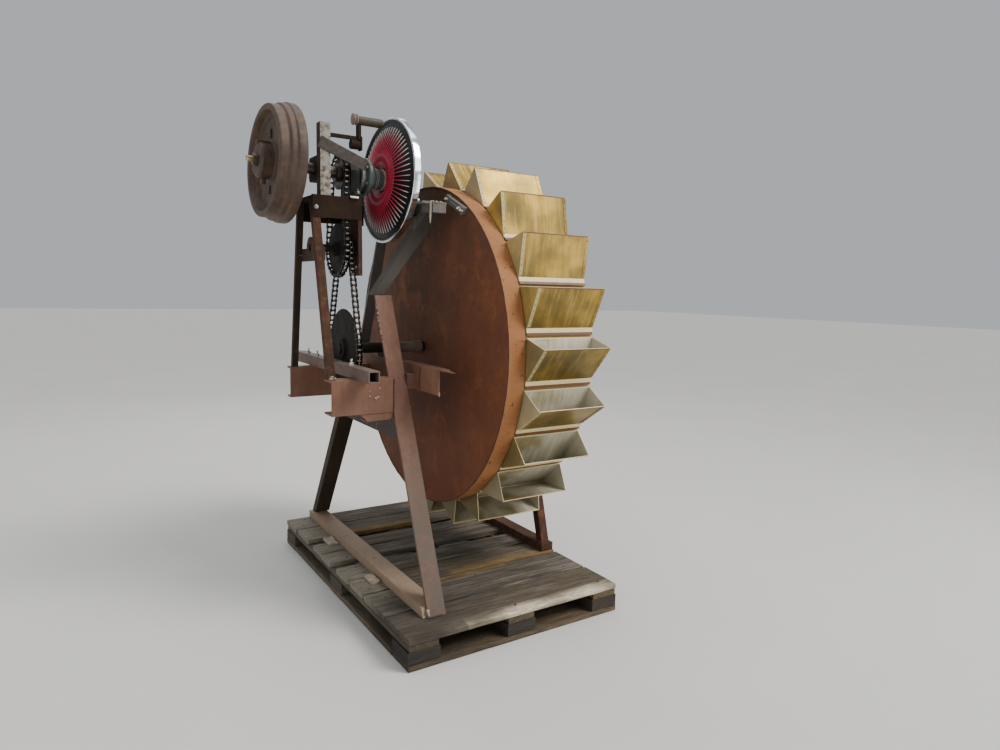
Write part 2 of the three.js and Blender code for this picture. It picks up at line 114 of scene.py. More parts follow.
# Pattern scale for a real size in millimetres
def perMetre(size):
    return 1000 / size


# Gives a node its inputs, by name or number, or in order from a list; a hex string is a colour
def feed(node, inputs):
    for key, value in enumerate(inputs) if isinstance(inputs, list) else inputs.items():
        if isinstance(value, bpy.types.NodeSocket):
            node.id_data.links.new(value, node.inputs[key])
        else:
            isColor = isinstance(value, str) and value.startswith("#")
            node.inputs[key].default_value = linear(value) if isColor else value


# Adds a node with its settings and links, and gives one of its outputs; a mix is a mix of colours
def addNode(tree, kind, inputs=(), out=0, **settings):
    node = tree.nodes.new(kind if kind.startswith(("Geometry", "Function")) else "ShaderNode" + kind)
    if kind == "Mix":
        settings["data_type"], out = "RGBA", 2
    for spot, color in settings.pop("stops", ()):
        element = node.color_ramp.elements.new(spot)
        element.color = linear(color)
    if kind == "ValToRGB":
        for end in (0, -1):
            node.color_ramp.elements.remove(node.color_ramp.elements[end])
    for key, value in settings.items():
        setattr(node, key, value)
    feed(node, dict(enumerate(inputs)) if isinstance(inputs, tuple) else inputs)
    return node.outputs[out]


def newFinish(name):
    finish = bpy.data.materials.new(name)
    finish.use_nodes = True
    add = partial(addNode, finish.node_tree)
    return finish, add, add("TexCoord", out="Object")


def endFinish(finish, inputs):
    feed(finish.node_tree.nodes["Principled BSDF"], inputs)
    return finish


# Lays tints over a colour in turn; a mask is a socket, or a value with its start, its end and its strength
def overlay(add, color, layers):
    for mask, tint in layers:
        if isinstance(mask, tuple):
            value, start, end, most = mask
            mask = add("MapRange", [value, start, end, 0.0, most])
        color = add("Mix", {0: mask, 6: color, 7: tint})
    return color


# What painted steel has where its own look doesn't say otherwise; sizes in millimetres, edge radius in metres
steelLook = {
    "patch": 160, "grain": 9, "streakAxes": (1.0, 1.0, 0.12), "streak": 0.4, "heightTints": (),
    "dust": 0.0, "dustTop": 0.75, "dustColor": "#75685b", "edgeRadius": 0.0025, "edgeWear": 0.8,
    "rustPatch": 38, "rustColor": "#4a2a1d", "rustLight": "#85553a", "relief": 0.35, "metal": 0.0, "shine": 0.4,
}


# Rolled or cast steel under paint or primer: chips and rust at the edges, dust low down
def paintedSteel(name, look):
    finish, add, place = newFinish(name)
    look = {**steelLook, **look}
    stretched = add("Mapping", {"Vector": place, "Scale": look["streakAxes"]})
    broad, grain, streak, bitten = (
        add("TexNoise", {"Vector": vector, "Scale": perMetre(size), "Detail": detail, "Roughness": rough})
        for vector, size, detail, rough in (
            (place, look["patch"], 5, 0.62), (place, look["grain"], 8, 0.7), (stretched, 14, 6, 0.6),
            (place, look["rustPatch"], 9, 0.72)))
    apart = add("SeparateXYZ", [place]).node.outputs
    soft = add("Bevel", {"Radius": look["edgeRadius"]}, samples=4)
    hard = add("NewGeometry", out="Normal")
    lowDown = add("MapRange", [apart["Z"], look["dustTop"], 0.1, 0.0, look["dust"]])
    dusty = add("Math", [lowDown, add("MapRange", [grain, 0.3, 0.62])], operation="MULTIPLY")
    layers = [((broad, 0.32, 0.68, 1.0), look["paintAged"]),
              ((streak, 0.42, 0.75, look["streak"]), look["streakColor"]), (dusty, look["dustColor"])]
    layers += [((apart["Z"], z0, z1, 1.0), tint) for z0, z1, tint in look["heightTints"]]
    # painted shade: faces turned towards -X are darkened with a tint
    if "leftShade" in look:
        layers.append(((add("SeparateXYZ", [hard], "X"), -0.4, -0.8, 0.9), look["leftShade"]))
    if "frontLayer" in look:
        y, tint = look["frontLayer"]
        layers.append(((apart["Y"], y + 0.0004, y, 1.0), tint))
    paint = overlay(add, look["paint"], layers)
    across = add("VectorMath", [soft, hard], 1, operation="DOT_PRODUCT")
    edge = add("Math", [add("MapRange", [across, 0.995, 0.85, 0.0, look["edgeWear"]]),
                        add("MapRange", [grain, 0.4, 0.58])], operation="MULTIPLY")
    patches = add("MapRange", [bitten, 0.66 - 0.2 * look["rust"], 0.72 - 0.1 * look["rust"]])
    worn = add("Math", [edge, patches], operation="MAXIMUM")
    rust = add("Mix", {0: grain, 6: look["rustColor"], 7: look["rustLight"]})
    lift = add("Math", [worn, -0.6, grain], operation="MULTIPLY_ADD")
    return endFinish(finish, {
        "Base Color": add("Mix", {0: worn, 6: paint, 7: rust}),
        "Roughness": add("MapRange", [grain, 0.3, 0.7, look["rough"] - 0.12, look["rough"] + 0.14]),
        "Normal": add("Bump", {"Strength": look["relief"], "Distance": 0.001, "Height": lift, "Normal": soft}),
        "Metallic": look["metal"], "Specular IOR Level": look["shine"]})


# Plate left out in the weather: an even brown rust, and a lighter orange band round the rim
def rustedPlate(name, look):
    finish, add, place = newFinish(name)
    centred = add("Mapping", {"Vector": place, "Location": tuple(-axle)})
    radial = add("VectorMath", [centred, (0.0, 1.0, 1.0)], operation="MULTIPLY")
    reach = add("VectorMath", [radial], "Value", operation="LENGTH")
    apart = add("SeparateXYZ", [centred]).node.outputs
    wash = add("Mapping", {"Vector": place, "Scale": (1.0, 1.0, 0.12)})
    broad, grain, runs, mottle, scorched, pitted = (
        add("TexNoise", {"Vector": vector, "Scale": perMetre(size), "Detail": detail, "Roughness": rough,
                         "Distortion": warp})
        for vector, size, detail, rough, warp in (
            (place, 260, 6, 0.6, 0), (place, 7, 9, 0.72, 0), (wash, 30, 7, 0.6, 0), (place, 95, 8, 0.66, 0.5),
            (place, 38, 9, 0.75, 0.8), (place, 16, 3, 0.55, 0)))
    plate = overlay(add, look["dark"], [
        ((broad, 0.4, 0.6, 1.0), look["mid"]), ((mottle, 0.5, 0.64, 0.75), look["run"]),
        ((scorched, 0.47, 0.6, 0.75), look["pit"]), ((runs, 0.55, 0.8, 0.22), look["run"]),
        ((apart["Y"], 0.1, -0.6, 0.55), look["low"]), ((apart["Z"], 0.2, -0.6, 0.5), look["low"]),
        ((apart["Z"], 0.3, 0.62, 0.6), look["veil"])])
    band = overlay(add, look["band"], [(broad, look["bandLight"]), ((pitted, 0.63, 0.7, 0.8), look["pit"])])
    shades = [add("ValToRGB", [grain], stops=stops) for stops in (
        [(0.3, "#8a8078"), (0.5, "#d8d0c8"), (0.68, "#ffffff")], [(0.32, "#8f8478"), (0.62, "#ffffff")])]
    plate = add("Mix", {0: 0.8, 6: plate, 7: shades[0]}, blend_type="MULTIPLY")
    band = add("Mix", {0: 0.4, 6: band, 7: shades[1]}, blend_type="MULTIPLY")
    return endFinish(finish, {
        "Base Color": overlay(add, plate, [((reach, look["bandFrom"], look["bandFrom"] + 0.0012, 1.0), band)]),
        "Roughness": add("MapRange", [grain, 0.3, 0.7, 0.62, 0.9]),
        "Normal": add("Bump", {"Strength": 0.4, "Distance": 0.0008, "Height": grain})})


# Zinc sheet with a yellow passivate: a satin yellow outside, milky grey-green inside the trough, a cream lip and foot
# strip that are partly painted highlight, and a brown line of rust along the outer edge, by the attribute "kind";
# painted shade darkens the sheet towards the bottom of the wheel
def yellowZinc(name, look):
    finish, add, place = newFinish(name)
    kind, reach, tone = (add("Attribute", out="Fac", attribute_name=n) for n in ("kind", "reach", "tone"))
    apart = add("SeparateXYZ", [place]).node.outputs
    onSheet = add("CombineXYZ", [apart["X"], add("Math", [reach, 0.014], operation="MULTIPLY"), tone])
    broad, streak, grain, specks = (
        add("TexNoise", {"Vector": vector, "Scale": perMetre(size), "Detail": detail, "Roughness": rough})
        for vector, size, detail, rough in (
            (place, 130, 4, 0.55), (onSheet, 16, 6, 0.62), (place, 5, 8, 0.7), (place, 17, 8, 0.78)))
    inside, lip, edge, nearEnd, fold = (
        add("Math", [kind, number, 0.4], operation="COMPARE") for number in (1.0, 2.0, 3.0, 4.0, 5.0))
    # painted shade: the sheet and the trough turn a darker olive towards the bottom of the wheel
    lowShade = add("MapRange", [apart["Z"], look["shadeTop"], look["shadeBottom"], 0.0, 0.85])
    stops = [(0.34, look["olive"]), (0.5, look["yellow"]), (0.68, look["pale"])]
    sheet = overlay(add, add("ValToRGB", [broad], stops=stops), [
        ((streak, 0.51, 0.68, 0.5), look["streak"]), ((streak, 0.49, 0.34, 0.45), look["olive"]),
        (lowShade, look["shadeOlive"])])
    yellowed = add("Math", [apart["X"], -0.9, add("Math", [broad, 0.15], operation="ADD")],
                   operation="MULTIPLY_ADD")
    milk = overlay(add, look["milkyDark"], [
        ((streak, 0.38, 0.66, 1.0), look["milky"]), ((yellowed, 0.46, 0.68, 0.85), look["yellow"]),
        (add("Math", [lowShade, 0.6], operation="MULTIPLY"), look["shadeOlive"])])
    swing = add("Math", [add("Math", [tone, 9.0], operation="MULTIPLY")], operation="SINE")
    paler = add("Math", [nearEnd, add("MapRange", [swing, -0.2, 1.0, 0.0, 0.4])], operation="MULTIPLY")
    nearFoot = add("MapRange", [reach, 0.16, 0.0, 0.0, 0.1])
    specked = add("Math", [specks, nearFoot], operation="ADD")
    # the cream of the lip, the edges and the foot strip is partly the sheet's own pale edge and partly painted
    # highlight
    color = overlay(add, sheet, [
        (inside, milk), (paler, look["milkyDark"]),
        (add("Math", [fold, 0.45], operation="MULTIPLY"), look["creamAndHighlight"]), (lip, look["creamAndHighlight"]),
        (edge, look["rust"]), ((specked, 0.66, 0.72, 0.85), look["rust"])])
    wavy = add("Math", [broad, 5.0, grain], operation="MULTIPLY_ADD")
    soft = add("Bevel", {"Radius": 0.0014}, samples=4)
    marked = add("Math", [kind, 0.5], operation="GREATER_THAN")
    return endFinish(finish, {
        "Base Color": color,
        "Roughness": add("MapRange", [streak, 0.3, 0.75, look["rough"], look["rough"] + 0.2]),
        "Normal": add("Bump", {"Strength": 0.2, "Distance": 0.0008, "Height": wavy, "Normal": soft}),
        "Metallic": add("Math", [marked, look["metalInside"] - look["metal"], look["metal"]],
                        operation="MULTIPLY_ADD")})


# Softwood boards gone grey outside: open grain, dark checks, and pale wood where it has split away
def weatheredWood(name, look):
    finish, add, place = newFinish(name)
    tone, fresh, stain = (add("Attribute", out="Fac", attribute_name=n) for n in ("tone", "fresh", "stain"))
    shift = add("VectorMath", {0: (3.1, 1.7, 2.3), "Scale": tone}, operation="SCALE")
    shifted = add("VectorMath", [place, shift], operation="ADD")
    grainAxes = add("Mapping", {"Vector": shifted, "Scale": look["along"]})
    fibre, figure, broad = (
        add("TexNoise", {"Vector": vector, "Scale": perMetre(size), "Detail": detail, "Roughness": rough,
                         "Distortion": warp})
        for vector, size, detail, rough, warp in (
            (grainAxes, 3.2, 8, 0.68, 0.3), (grainAxes, 16, 5, 0.6, 0.8), (shifted, 170, 5, 0.6, 0)))
    apart = add("SeparateXYZ", [place]).node.outputs
    endward = add("Math", [add("MapRange", [apart["X"], -0.2, -0.38]),
                           add("MapRange", [apart["Y"], -0.45, -0.25, 0.0, 0.65])], operation="MULTIPLY")
    frontCorner = add("Math", [add("MapRange", [apart["X"], 0.12, -0.25, 0.0, 0.6]),
                               add("MapRange", [apart["Y"], -0.26, -0.4])], operation="MULTIPLY")
    toned = add("Math", [tone, 0.5, broad], operation="MULTIPLY_ADD")
    stops = [(0.28, look["dark"]), (0.48, look["mid"]), (0.68, look["light"])]
    wood = overlay(add, add("ValToRGB", [figure], stops=stops), [
        ((toned, 0.5, 1.1, 0.75), look["warm"]), ((broad, 0.55, 0.72, look["moss"]), look["mossColor"]),
        (endward, look["pale"]), (frontCorner, look["dark"]),
        (add("Math", [stain, 0.78], operation="MULTIPLY"), look["stainColor"]), (fresh, look["fresh"])])
    shade = add("ValToRGB", [fibre], stops=[(0.3, "#4c463e"), (0.45, "#b4aca0"), (0.62, "#ffffff")])
    depth = add("Math", [add("MapRange", [figure, 0.3, 0.42]), 1.4, fibre], operation="MULTIPLY_ADD")
    return endFinish(finish, {
        "Base Color": add("Mix", {0: 0.8, 6: wood, 7: shade}, blend_type="MULTIPLY"), "Roughness": 0.88,
        "Normal": add("Bump", {"Strength": 0.7, "Distance": 0.0016, "Height": depth})})


# Bare steel or plating: bright, with fine turning marks and a haze of oil
def bareMetal(name, look):
    finish, add, place = newFinish(name)
    look = {"spread": 0.15, "relief": 0.1, "metal": 1.0, **look}
    turned = add("Mapping", {"Vector": place, "Scale": (6.0, 1.0, 1.0)})
    haze, fine = (
        add("TexNoise", {"Vector": vector, "Scale": perMetre(size), "Detail": detail, "Roughness": rough})
        for vector, size, detail, rough in ((place, 30, 6, 0.65), (turned, 6, 4, 0.6)))
    return endFinish(finish, {
        "Base Color": overlay(add, look["bright"], [((haze, 0.38, 0.66, 1.0), look["dull"])]),
        "Roughness": add("MapRange", [haze, 0.3, 0.7, look["rough"], look["rough"] + look["spread"]]),
        "Normal": add("Bump", {"Strength": look["relief"], "Distance": 0.0004, "Height": fine}),
        "Metallic": look["metal"]})


# Enamelled fins: crimson at the root, and pink to bone white at the tips where the colour has faded
def finEnamel(name, stops):
    finish, add, place = newFinish(name)
    reach = add("Attribute", out="Fac", attribute_name="reach")
    mottle = add("TexNoise", {"Vector": place, "Scale": perMetre(14), "Detail": 5, "Roughness": 0.6})
    uneven = add("Math", [mottle, 0.5], operation="SUBTRACT")
    along = add("Math", [uneven, 0.22, reach], operation="MULTIPLY_ADD")
    return endFinish(finish, {
        "Base Color": add("ValToRGB", [along], stops=stops), "Roughness": 0.42,
        "Normal": add("Bump", {"Strength": 0.15, "Distance": 0.0005, "Height": mottle})})


# Pale studio floor with the faint cloudiness of trowelled screed
def studioFloor(name):
    finish, add, place = newFinish(name)
    cloud = add("TexNoise", {"Vector": place, "Scale": perMetre(900), "Detail": 5, "Roughness": 0.6})
    return endFinish(finish, {"Base Color": overlay(add, "#c2c0bb", [(cloud, "#cccac6")]), "Roughness": 0.7})


finishes = {
    # red oxide primer over rolled steel: matt, greyed by dust low down
    "primer": paintedSteel("redOxidePrimer", {
        "paint": "#6c4736", "paintAged": "#7c5845", "streakColor": "#543526", "rust": 0.75, "rough": 0.62,
        "dust": 0.95, "dustColor": "#5f5449", "dustTop": 0.85, "rustLight": "#7d5a44",
        "heightTints": [(0.66, 0.36, "#524439")]}),
    # the same primer under a coat of pale dust
    "railPrimer": paintedSteel("dustyOxidePrimer", {
        "paint": "#8a705a", "paintAged": "#988068", "streakColor": "#6e5442", "rust": 0.4, "rough": 0.65,
        "dust": 0.6, "dustColor": "#8a7d69", "dustTop": 0.2, "rustLight": "#8d6c52"}),
    # primer on the upper part, and dark bare steel below it
    "beamPrimer": paintedSteel("halfPrimedSteel", {
        "paint": "#6b4a3a", "paintAged": "#7a5b4b", "streakColor": "#523629", "rust": 0.45, "rough": 0.62,
        "heightTints": [(0.691, 0.685, "#33261f")]}),
    # primer darkened by painted shade: deep brown, dull and rusted through
    "primerInShade": paintedSteel("shadedOxidePrimer", {
        "paint": "#37241a", "paintAged": "#4a3122", "streakColor": "#23160f", "rust": 0.8, "rough": 0.7,
        "shine": 0.15, "rustLight": "#6d4c34", "dust": 0.3, "dustColor": "#473626"}),
    # primer darkened nearly to black as painted shade, without shine
    "barPrimerInShade": paintedSteel("shadeBlackenedPrimer", {
        "paint": "#241810", "paintAged": "#302217", "streakColor": "#170f0a", "rust": 0.4, "rough": 0.72,
        "shine": 0.12, "rustLight": "#4a3424", "rustColor": "#23160f"}),
    # primer worn to a brownish grey, with lighter rust along its edges
    "tubePrimer": paintedSteel("greyedOxidePrimer", {
        "paint": "#5b473d", "paintAged": "#6b5a50", "streakColor": "#3d2f28", "rust": 0.5, "rough": 0.6,
        "dust": 0.3, "rustLight": "#8d7565", "edgeWear": 1.0, "edgeRadius": 0.003}),
    # steel with its paint nearly gone: dark brown and dull
    "darkSteel": paintedSteel("brownedSteel", {
        "paint": "#2c231a", "paintAged": "#3a2e22", "streakColor": "#1a1511", "rust": 0.5, "rough": 0.62,
        "shine": 0.15, "rustColor": "#2a1d16", "rustLight": "#4f3c2e", "dust": 0.3, "metal": 0.1}),
    # grey machine paint, dulled and darker towards its top
    "brace": paintedSteel("greyMachinePaint", {
        "paint": "#625e58", "paintAged": "#514d48", "streakColor": "#6d675f", "rust": 0.3, "rough": 0.55,
        "rustColor": "#382b22", "rustLight": "#7b7162", "metal": 0.1, "heightTints": [(1.16, 1.33, "#35302a")]}),
    # blackened steel: a soft brownish grey, browner where it is worn
    "headSteel": paintedSteel("blackenedSteel", {
        "paint": "#5a5551", "paintAged": "#6c6661", "streakColor": "#3b3734", "rust": 0.35, "rough": 0.5,
        "rustColor": "#3d2e25", "rustLight": "#7b6b5c", "metal": 0.1}),
    # sand-cast iron: a coarse skin that holds rust; the second copy is darkened nearly to black as painted shade
    "casting": paintedSteel("rustyIronCasting", {
        "paint": "#33271f", "paintAged": "#43332a", "streakColor": "#211813", "rust": 0.7, "rough": 0.68,
        "shine": 0.2, "grain": 4, "relief": 0.6, "edgeRadius": 0.004}),
    # painted shade: the same casting darkened nearly to black for the bearings in shadow
    "castingInShade": paintedSteel("shadeDarkenedCasting", {
        "paint": "#121012", "paintAged": "#1a1718", "streakColor": "#0b0a0a", "rust": 0.25, "rough": 0.52,
        "shine": 0.2, "grain": 4, "relief": 0.5, "edgeRadius": 0.004, "rustColor": "#241a16",
        "rustLight": "#4c3d33"}),
    # pale grey paint coming off in flakes, with bare dark steel under it, and its left-facing side darkened as
    # painted shade
    "flaking": paintedSteel("flakingGreyPaint", {
        "paint": "#a39c90", "paintAged": "#8f877a", "streakColor": "#766d60", "rust": 1.0, "rustPatch": 15,
        "rustColor": "#2e251f", "rustLight": "#5c4d40", "rough": 0.6, "relief": 0.6,
        "leftShade": "#3c362e", "frontLayer": (-0.0655, "#332d29"), "edgeWear": 1.0}),
    # olive brown paint: dark, with a low sheen
    "olive": paintedSteel("oliveBrownPaint", {
        "paint": "#3a3227", "paintAged": "#473f33", "streakColor": "#282118", "rust": 0.4, "rough": 0.46,
        "shine": 0.25}),
    # pink paint gone chalky, with brown showing through
    "pinkPaint": paintedSteel("fadedPinkPaint", {
        "paint": "#6f5751", "paintAged": "#88716a", "streakColor": "#44332e", "rust": 0.6, "rough": 0.5}),
    # plate rusted through its paint: dark red-brown and matt
    "rustyBracket": paintedSteel("rustRedPlate", {
        "paint": "#3b261d", "paintAged": "#4a3328", "streakColor": "#261712", "rust": 0.6, "rough": 0.7}),
    # dark green enamel: a clear sheen, and pale scuffs at its edges
    "greenHub": paintedSteel("darkGreenEnamel", {
        "paint": "#46524d", "paintAged": "#5a6660", "streakColor": "#28322e", "rust": 0.3, "rough": 0.36,
        "rustColor": "#23261f", "rustLight": "#87928b", "grain": 5}),
    # cable cover: greenish grey with a fine mottle
    "wire": paintedSteel("greenGreyCable", {
        "paint": "#7f8984", "paintAged": "#9aa39e", "streakColor": "#4d5652", "rust": 0.1, "rough": 0.5,
        "grain": 3}),
    # turned iron: streaks run round the rim, along no axis but the shaft's own
    "flywheel": paintedSteel("rustyTurnedIron", {
        "paint": "#3e3027", "paintAged": "#544336", "streakColor": "#2c2019", "streak": 0.8, "rust": 0.9,
        "rustColor": "#38251a", "rustLight": "#6b4f3a", "rough": 0.54, "metal": 0.1,
        "streakAxes": (1.0, 0.16, 0.16), "relief": 0.45, "edgeRadius": 0.003}),
    # weld spatter: pale grit with brown between
    "spatter": paintedSteel("paleWeldSpatter", {
        "paint": "#b5a894", "paintAged": "#8f7f6c", "streakColor": "#705e4d", "rust": 0.5, "rustPatch": 8,
        "rough": 0.6, "edgeWear": 0.0}),
    # disc plate: brown all over, with a lighter orange tread band
    "plate": rustedPlate("evenlyRustedPlate", {
        "dark": "#472913", "mid": "#6d3f1b", "run": "#925522", "low": "#7a3f19", "band": "#935b30",
        "bandLight": "#ab7440", "pit": "#4c2a17", "veil": "#5b4434", "bandFrom": 0.5985}),
    # the drum behind the disc: rusted to a dry orange
    "drum": rustedPlate("orangeRustedDrum", {
        "dark": "#5d3a22", "mid": "#7a4f30", "run": "#94602f", "low": "#75452b", "band": "#a67f4d",
        "bandLight": "#bb9760", "pit": "#6b3a20", "veil": "#5d3a22", "bandFrom": 0.5935}),
    # passivated zinc: satin gold outside, milky inside the trough, darker olive low down as painted shade
    "zinc": yellowZinc("yellowPassivatedZinc", {
        "olive": "#69592f", "yellow": "#907635", "pale": "#c29e4a", "streak": "#c8ad68", "milky": "#e4dfcd",
        "milkyDark": "#c6bfa8", "creamAndHighlight": "#ddcb96", "rust": "#6a4426", "shadeOlive": "#5a5233", "shadeTop": 1.22,
        "shadeBottom": 0.3, "rough": 0.36, "metal": 0.72, "metalInside": 0.08}),
    # pine deck: grey, with moss in patches and pale breaks
    "deckWood": weatheredWood("greyedPineDeck", {
        "along": (0.05, 1.0, 1.0), "dark": "#2b2721", "mid": "#574f45", "light": "#8c8476", "warm": "#5c4e39",
        "moss": 0.5, "mossColor": "#55543a", "stainColor": "#96783c", "fresh": "#d3c7b0", "pale": "#a19b8e"}),
    # bearers under the deck: darkened as painted shade of the deck, and browner
    "baseWoodInShade": weatheredWood("shadedPineBase", {
        "along": (1.0, 0.05, 1.0), "dark": "#352e23", "mid": "#574c3a", "light": "#776850", "warm": "#665437",
        "moss": 0.7, "mossColor": "#575433", "stainColor": "#8a6a38", "fresh": "#b5a78f", "pale": "#6b6355"}),
    # bottom boards near wet ground: brown with moss
    "bottomWood": weatheredWood("mossyPineBottom", {
        "along": (0.08, 1.0, 1.0), "dark": "#322b20", "mid": "#544835", "light": "#73644c", "warm": "#655334",
        "moss": 0.8, "mossColor": "#565231", "stainColor": "#8a6a38", "fresh": "#a89a84", "pale": "#756b59"}),
    # blocks between the boards: darkened nearly to black as painted shade under the deck
    "blockWoodInShade": weatheredWood("shadedPineBlock", {
        "along": (0.08, 1.0, 1.0), "dark": "#201c18", "mid": "#302a24", "light": "#453d34", "warm": "#382f25",
        "moss": 0.4, "mossColor": "#45442d", "stainColor": "#8a6a38", "fresh": "#a89a84", "pale": "#5f584c"}),
    # worn shaft steel: a dull brown gleam
    "shaft": bareMetal("wornShaftSteel", {"bright": "#6d655c", "dull": "#453b34", "rough": 0.36}),
    # shaft steel under old oil: nearly black and matt
    "darkShaft": bareMetal("oilyShaftSteel", {
        "bright": "#1f1a13", "dull": "#100d09", "rough": 0.66, "metal": 0.3}),
    # tarnished brass: a soft pale gold
    "brass": bareMetal("tarnishedBrass", {"bright": "#c9b48c", "dull": "#8d7a5a", "rough": 0.32}),
    # oiled chain plates: black with a low shine
    "chainPlate": bareMetal("oiledChainPlate", {"bright": "#2d2925", "dull": "#151210", "rough": 0.38}),
    # pin ends and rollers rubbed bright
    "chainPin": bareMetal("polishedChainPin", {"bright": "#8d857a", "dull": "#4c4640", "rough": 0.3}),
    # zinc plated bolts gone dull and brownish
    "bolt": bareMetal("dulledZincBolt", {"bright": "#8d867c", "dull": "#5a4a3e", "rough": 0.42, "spread": 0.25}),
    # newer zinc plating, still bright
    "brightBolt": bareMetal("brightZincBolt", {"bright": "#d6d2ca", "dull": "#a39c92", "rough": 0.3}),
    # weld beads: dark rust brown and rough
    "weld": bareMetal("rustyWeldBead", {"bright": "#4b3527", "dull": "#33231a", "rough": 0.6, "metal": 0.2}),
    # chrome plating: close to a mirror
    "chrome": bareMetal("chromePlating", {
        "bright": "#f0f1f4", "dull": "#cfd1d6", "rough": 0.07, "spread": 0.12, "relief": 0.03}),
    # black enamel: deep black with a soft shine
    "blackEnamel": paintedSteel("blackEnamel", {
        "paint": "#0d0b0c", "paintAged": "#141113", "streakColor": "#1d191a", "rust": 0.0, "rough": 0.4,
        "relief": 0.1, "edgeWear": 0.3}),
    # crimson enamel with small paler chips at its edges
    "redEnamel": paintedSteel("crimsonEnamel", {
        "paint": "#8e1f35", "paintAged": "#a32a42", "streakColor": "#701626", "rust": 0.1, "rough": 0.36,
        "relief": 0.1, "edgeWear": 0.2, "rustColor": "#5a1420", "rustLight": "#c05a6a"}),
    # enamelled fins: crimson at the root, faded at the tips
    "fins": finEnamel("fadedFinEnamel", [
        (0.0, "#ac233c"), (0.54, "#cb3350"), (0.7, "#d06577"), (0.84, "#dab0ad"), (0.95, "#e8e1da")]),
    # trowelled floor: pale and faintly cloudy
    "floor": studioFloor("paleStudioFloor"),
}
cadFinishes = {
    "primer": ["left_front_leg", "platform_front_channel", "bearing_crossbar", "platform_rear_channel"],
    "railPrimer": ["left_base_rail"],
    "beamPrimer": ["platform_beam"],
    "primerInShade": ["trestle_front_post", "far_stand"],
    "barPrimerInShade": ["upper_frame", "side_arm"],
    "tubePrimer": ["platform_tube"],
    "darkSteel": ["left_rear_leg", "trestle_rear_post"],
    "brace": ["corner_brace"],
    "headSteel": ["brace_head"],
    "flaking": ["light_post"],
    "casting": ["main_bearing_near", "main_bearing_far", "layshaft_bearing", "top_bearing_left"],
    "castingInShade": ["top_bearing_mid", "top_bearing_right"],
    "rustyBracket": ["layshaft_bracket"],
}
for finishName, members in cadFinishes.items():
    for member in members:
        nodes[member].data.materials.clear()
        nodes[member].data.materials.append(finishes[finishName])
print("stage: finishes made")


def link(piece):
    bpy.context.scene.collection.objects.link(piece)
    return piece


# A finished piece: it rides on its body, and the parts it replaces are hidden
def settle(piece, body, replaced=()):
    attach(piece, body)
    if replaced:
        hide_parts(*replaced)


def fromBmesh(name, shape, finish, smooth=35):
    bmesh.ops.recalc_face_normals(shape, faces=shape.faces)
    mesh = bpy.data.meshes.new(name)
    shape.to_mesh(mesh)
    shape.free()
    for face in mesh.polygons:
        face.use_smooth = True
    mesh.set_sharp_from_angle(angle=math.radians(smooth))
    mesh.materials.append(finishes[finish])
    return link(bpy.data.objects.new(name, mesh))


# Joins rings of corners into a skin, and closes it with a face over each end or by joining the last to the first
def skinInto(shape, rings, looped=False):
    count = len(rings[0])
    sides = []
    for here, there in zip(rings, rings[1:] + rings[:1] if looped else rings[1:]):
        for j in range(count):
            k = (j + 1) % count
            sides.append(shape.faces.new((here[j], here[k], there[k], there[j])))
    return sides, [] if looped else [shape.faces.new(rings[0][::-1]), shape.faces.new(rings[-1])]


# A plate from an outline of corners in metres, drawn out by a distance in millimetres
def prismInto(shape, outline, reach):
    starts = (Vector((0, 0, 0)), Vector(reach) / 1000)
    return skinInto(shape, [[shape.verts.new(corner + start) for corner in outline] for start in starts])


# Rounds each corner of a closed profile off with a short arc
def rounded(profile, radius, steps=3):
    out = []
    for i, corner in enumerate(profile):
        here = Vector(corner)
        before = Vector(profile[i - 1]) - here
        after = Vector(profile[(i + 1) % len(profile)]) - here
        cutBack = min(radius, before.length * 0.45, after.length * 0.45)
        start = here + before.normalized() * cutBack
        end = here + after.normalized() * cutBack
        for step in range(steps + 1):
            t = step / steps
            out.append((1 - t) ** 2 * start + 2 * t * (1 - t) * here + t * t * end)
    return out


# A closed profile of radius and distance, in millimetres, turned round the X axis of place
def turnedPiece(name, profile, place, segments, finish, soften, body, replaced=()):
    shape = bmesh.new()
    profile = rounded(profile, soften)
    rings = []
    for i in range(segments):
        angle = 2 * math.pi * i / segments
        rings.append([shape.verts.new(place @ (Vector((x, r * math.cos(angle), r * math.sin(angle))) / 1000))
                      for r, x in profile])
    skinInto(shape, rings, looped=True)
    settle(fromBmesh(name, shape, finish, 40), body, replaced)


# A block with softened edges, between two corners in millimetres
def blockInto(shape, low, high, soften=0.8, turn=None):
    made = bmesh.ops.create_cube(shape, size=1)
    low, high = Vector(low), Vector(high)
    middle = (low + high) / 2
    for vert in made["verts"]:
        vert.co = Vector([vert.co[i] * (high[i] - low[i]) for i in range(3)])
        if turn:
            vert.co.rotate(turn)
        vert.co = at(*(vert.co + middle))
    edges = list({edge for vert in made["verts"] for edge in vert.link_edges})
    bmesh.ops.bevel(shape, geom=edges, offset=soften / 1000, segments=2, profile=0.6, affect="EDGES")


# A rod along points in metres, with one radius or one for each point
def rodInto(shape, points, radius, sides, closed=False):
    count = len(points)
    radii = radius if isinstance(radius, list) else [radius] * count
    rings = []
    side = points[1] - points[0]
    for i, point in enumerate(points):
        ahead = points[(i + 1) % count] if closed or i + 1 < count else point
        behind = points[i - 1] if closed or i > 0 else point
        along = (ahead - behind).normalized()
        if i == 0:
            side = along.orthogonal().normalized()
        side = (side - along * side.dot(along)).normalized()
        other = along.cross(side)
        rings.append([shape.verts.new(point + radii[i] * (side * math.cos(a) + other * math.sin(a)))
                      for a in (2 * math.pi * k / sides for k in range(sides))])
    skinInto(shape, rings, closed)


# A small round head on the Z axis, by its heights and radii in millimetres
def headPattern(name, heights, radii, sides, finish):
    shape = bmesh.new()
    rodInto(shape, [Vector((0, 0, z)) / 1000 for z in heights], [r / 1000 for r in radii], sides)
    return fromBmesh(name, shape, finish)


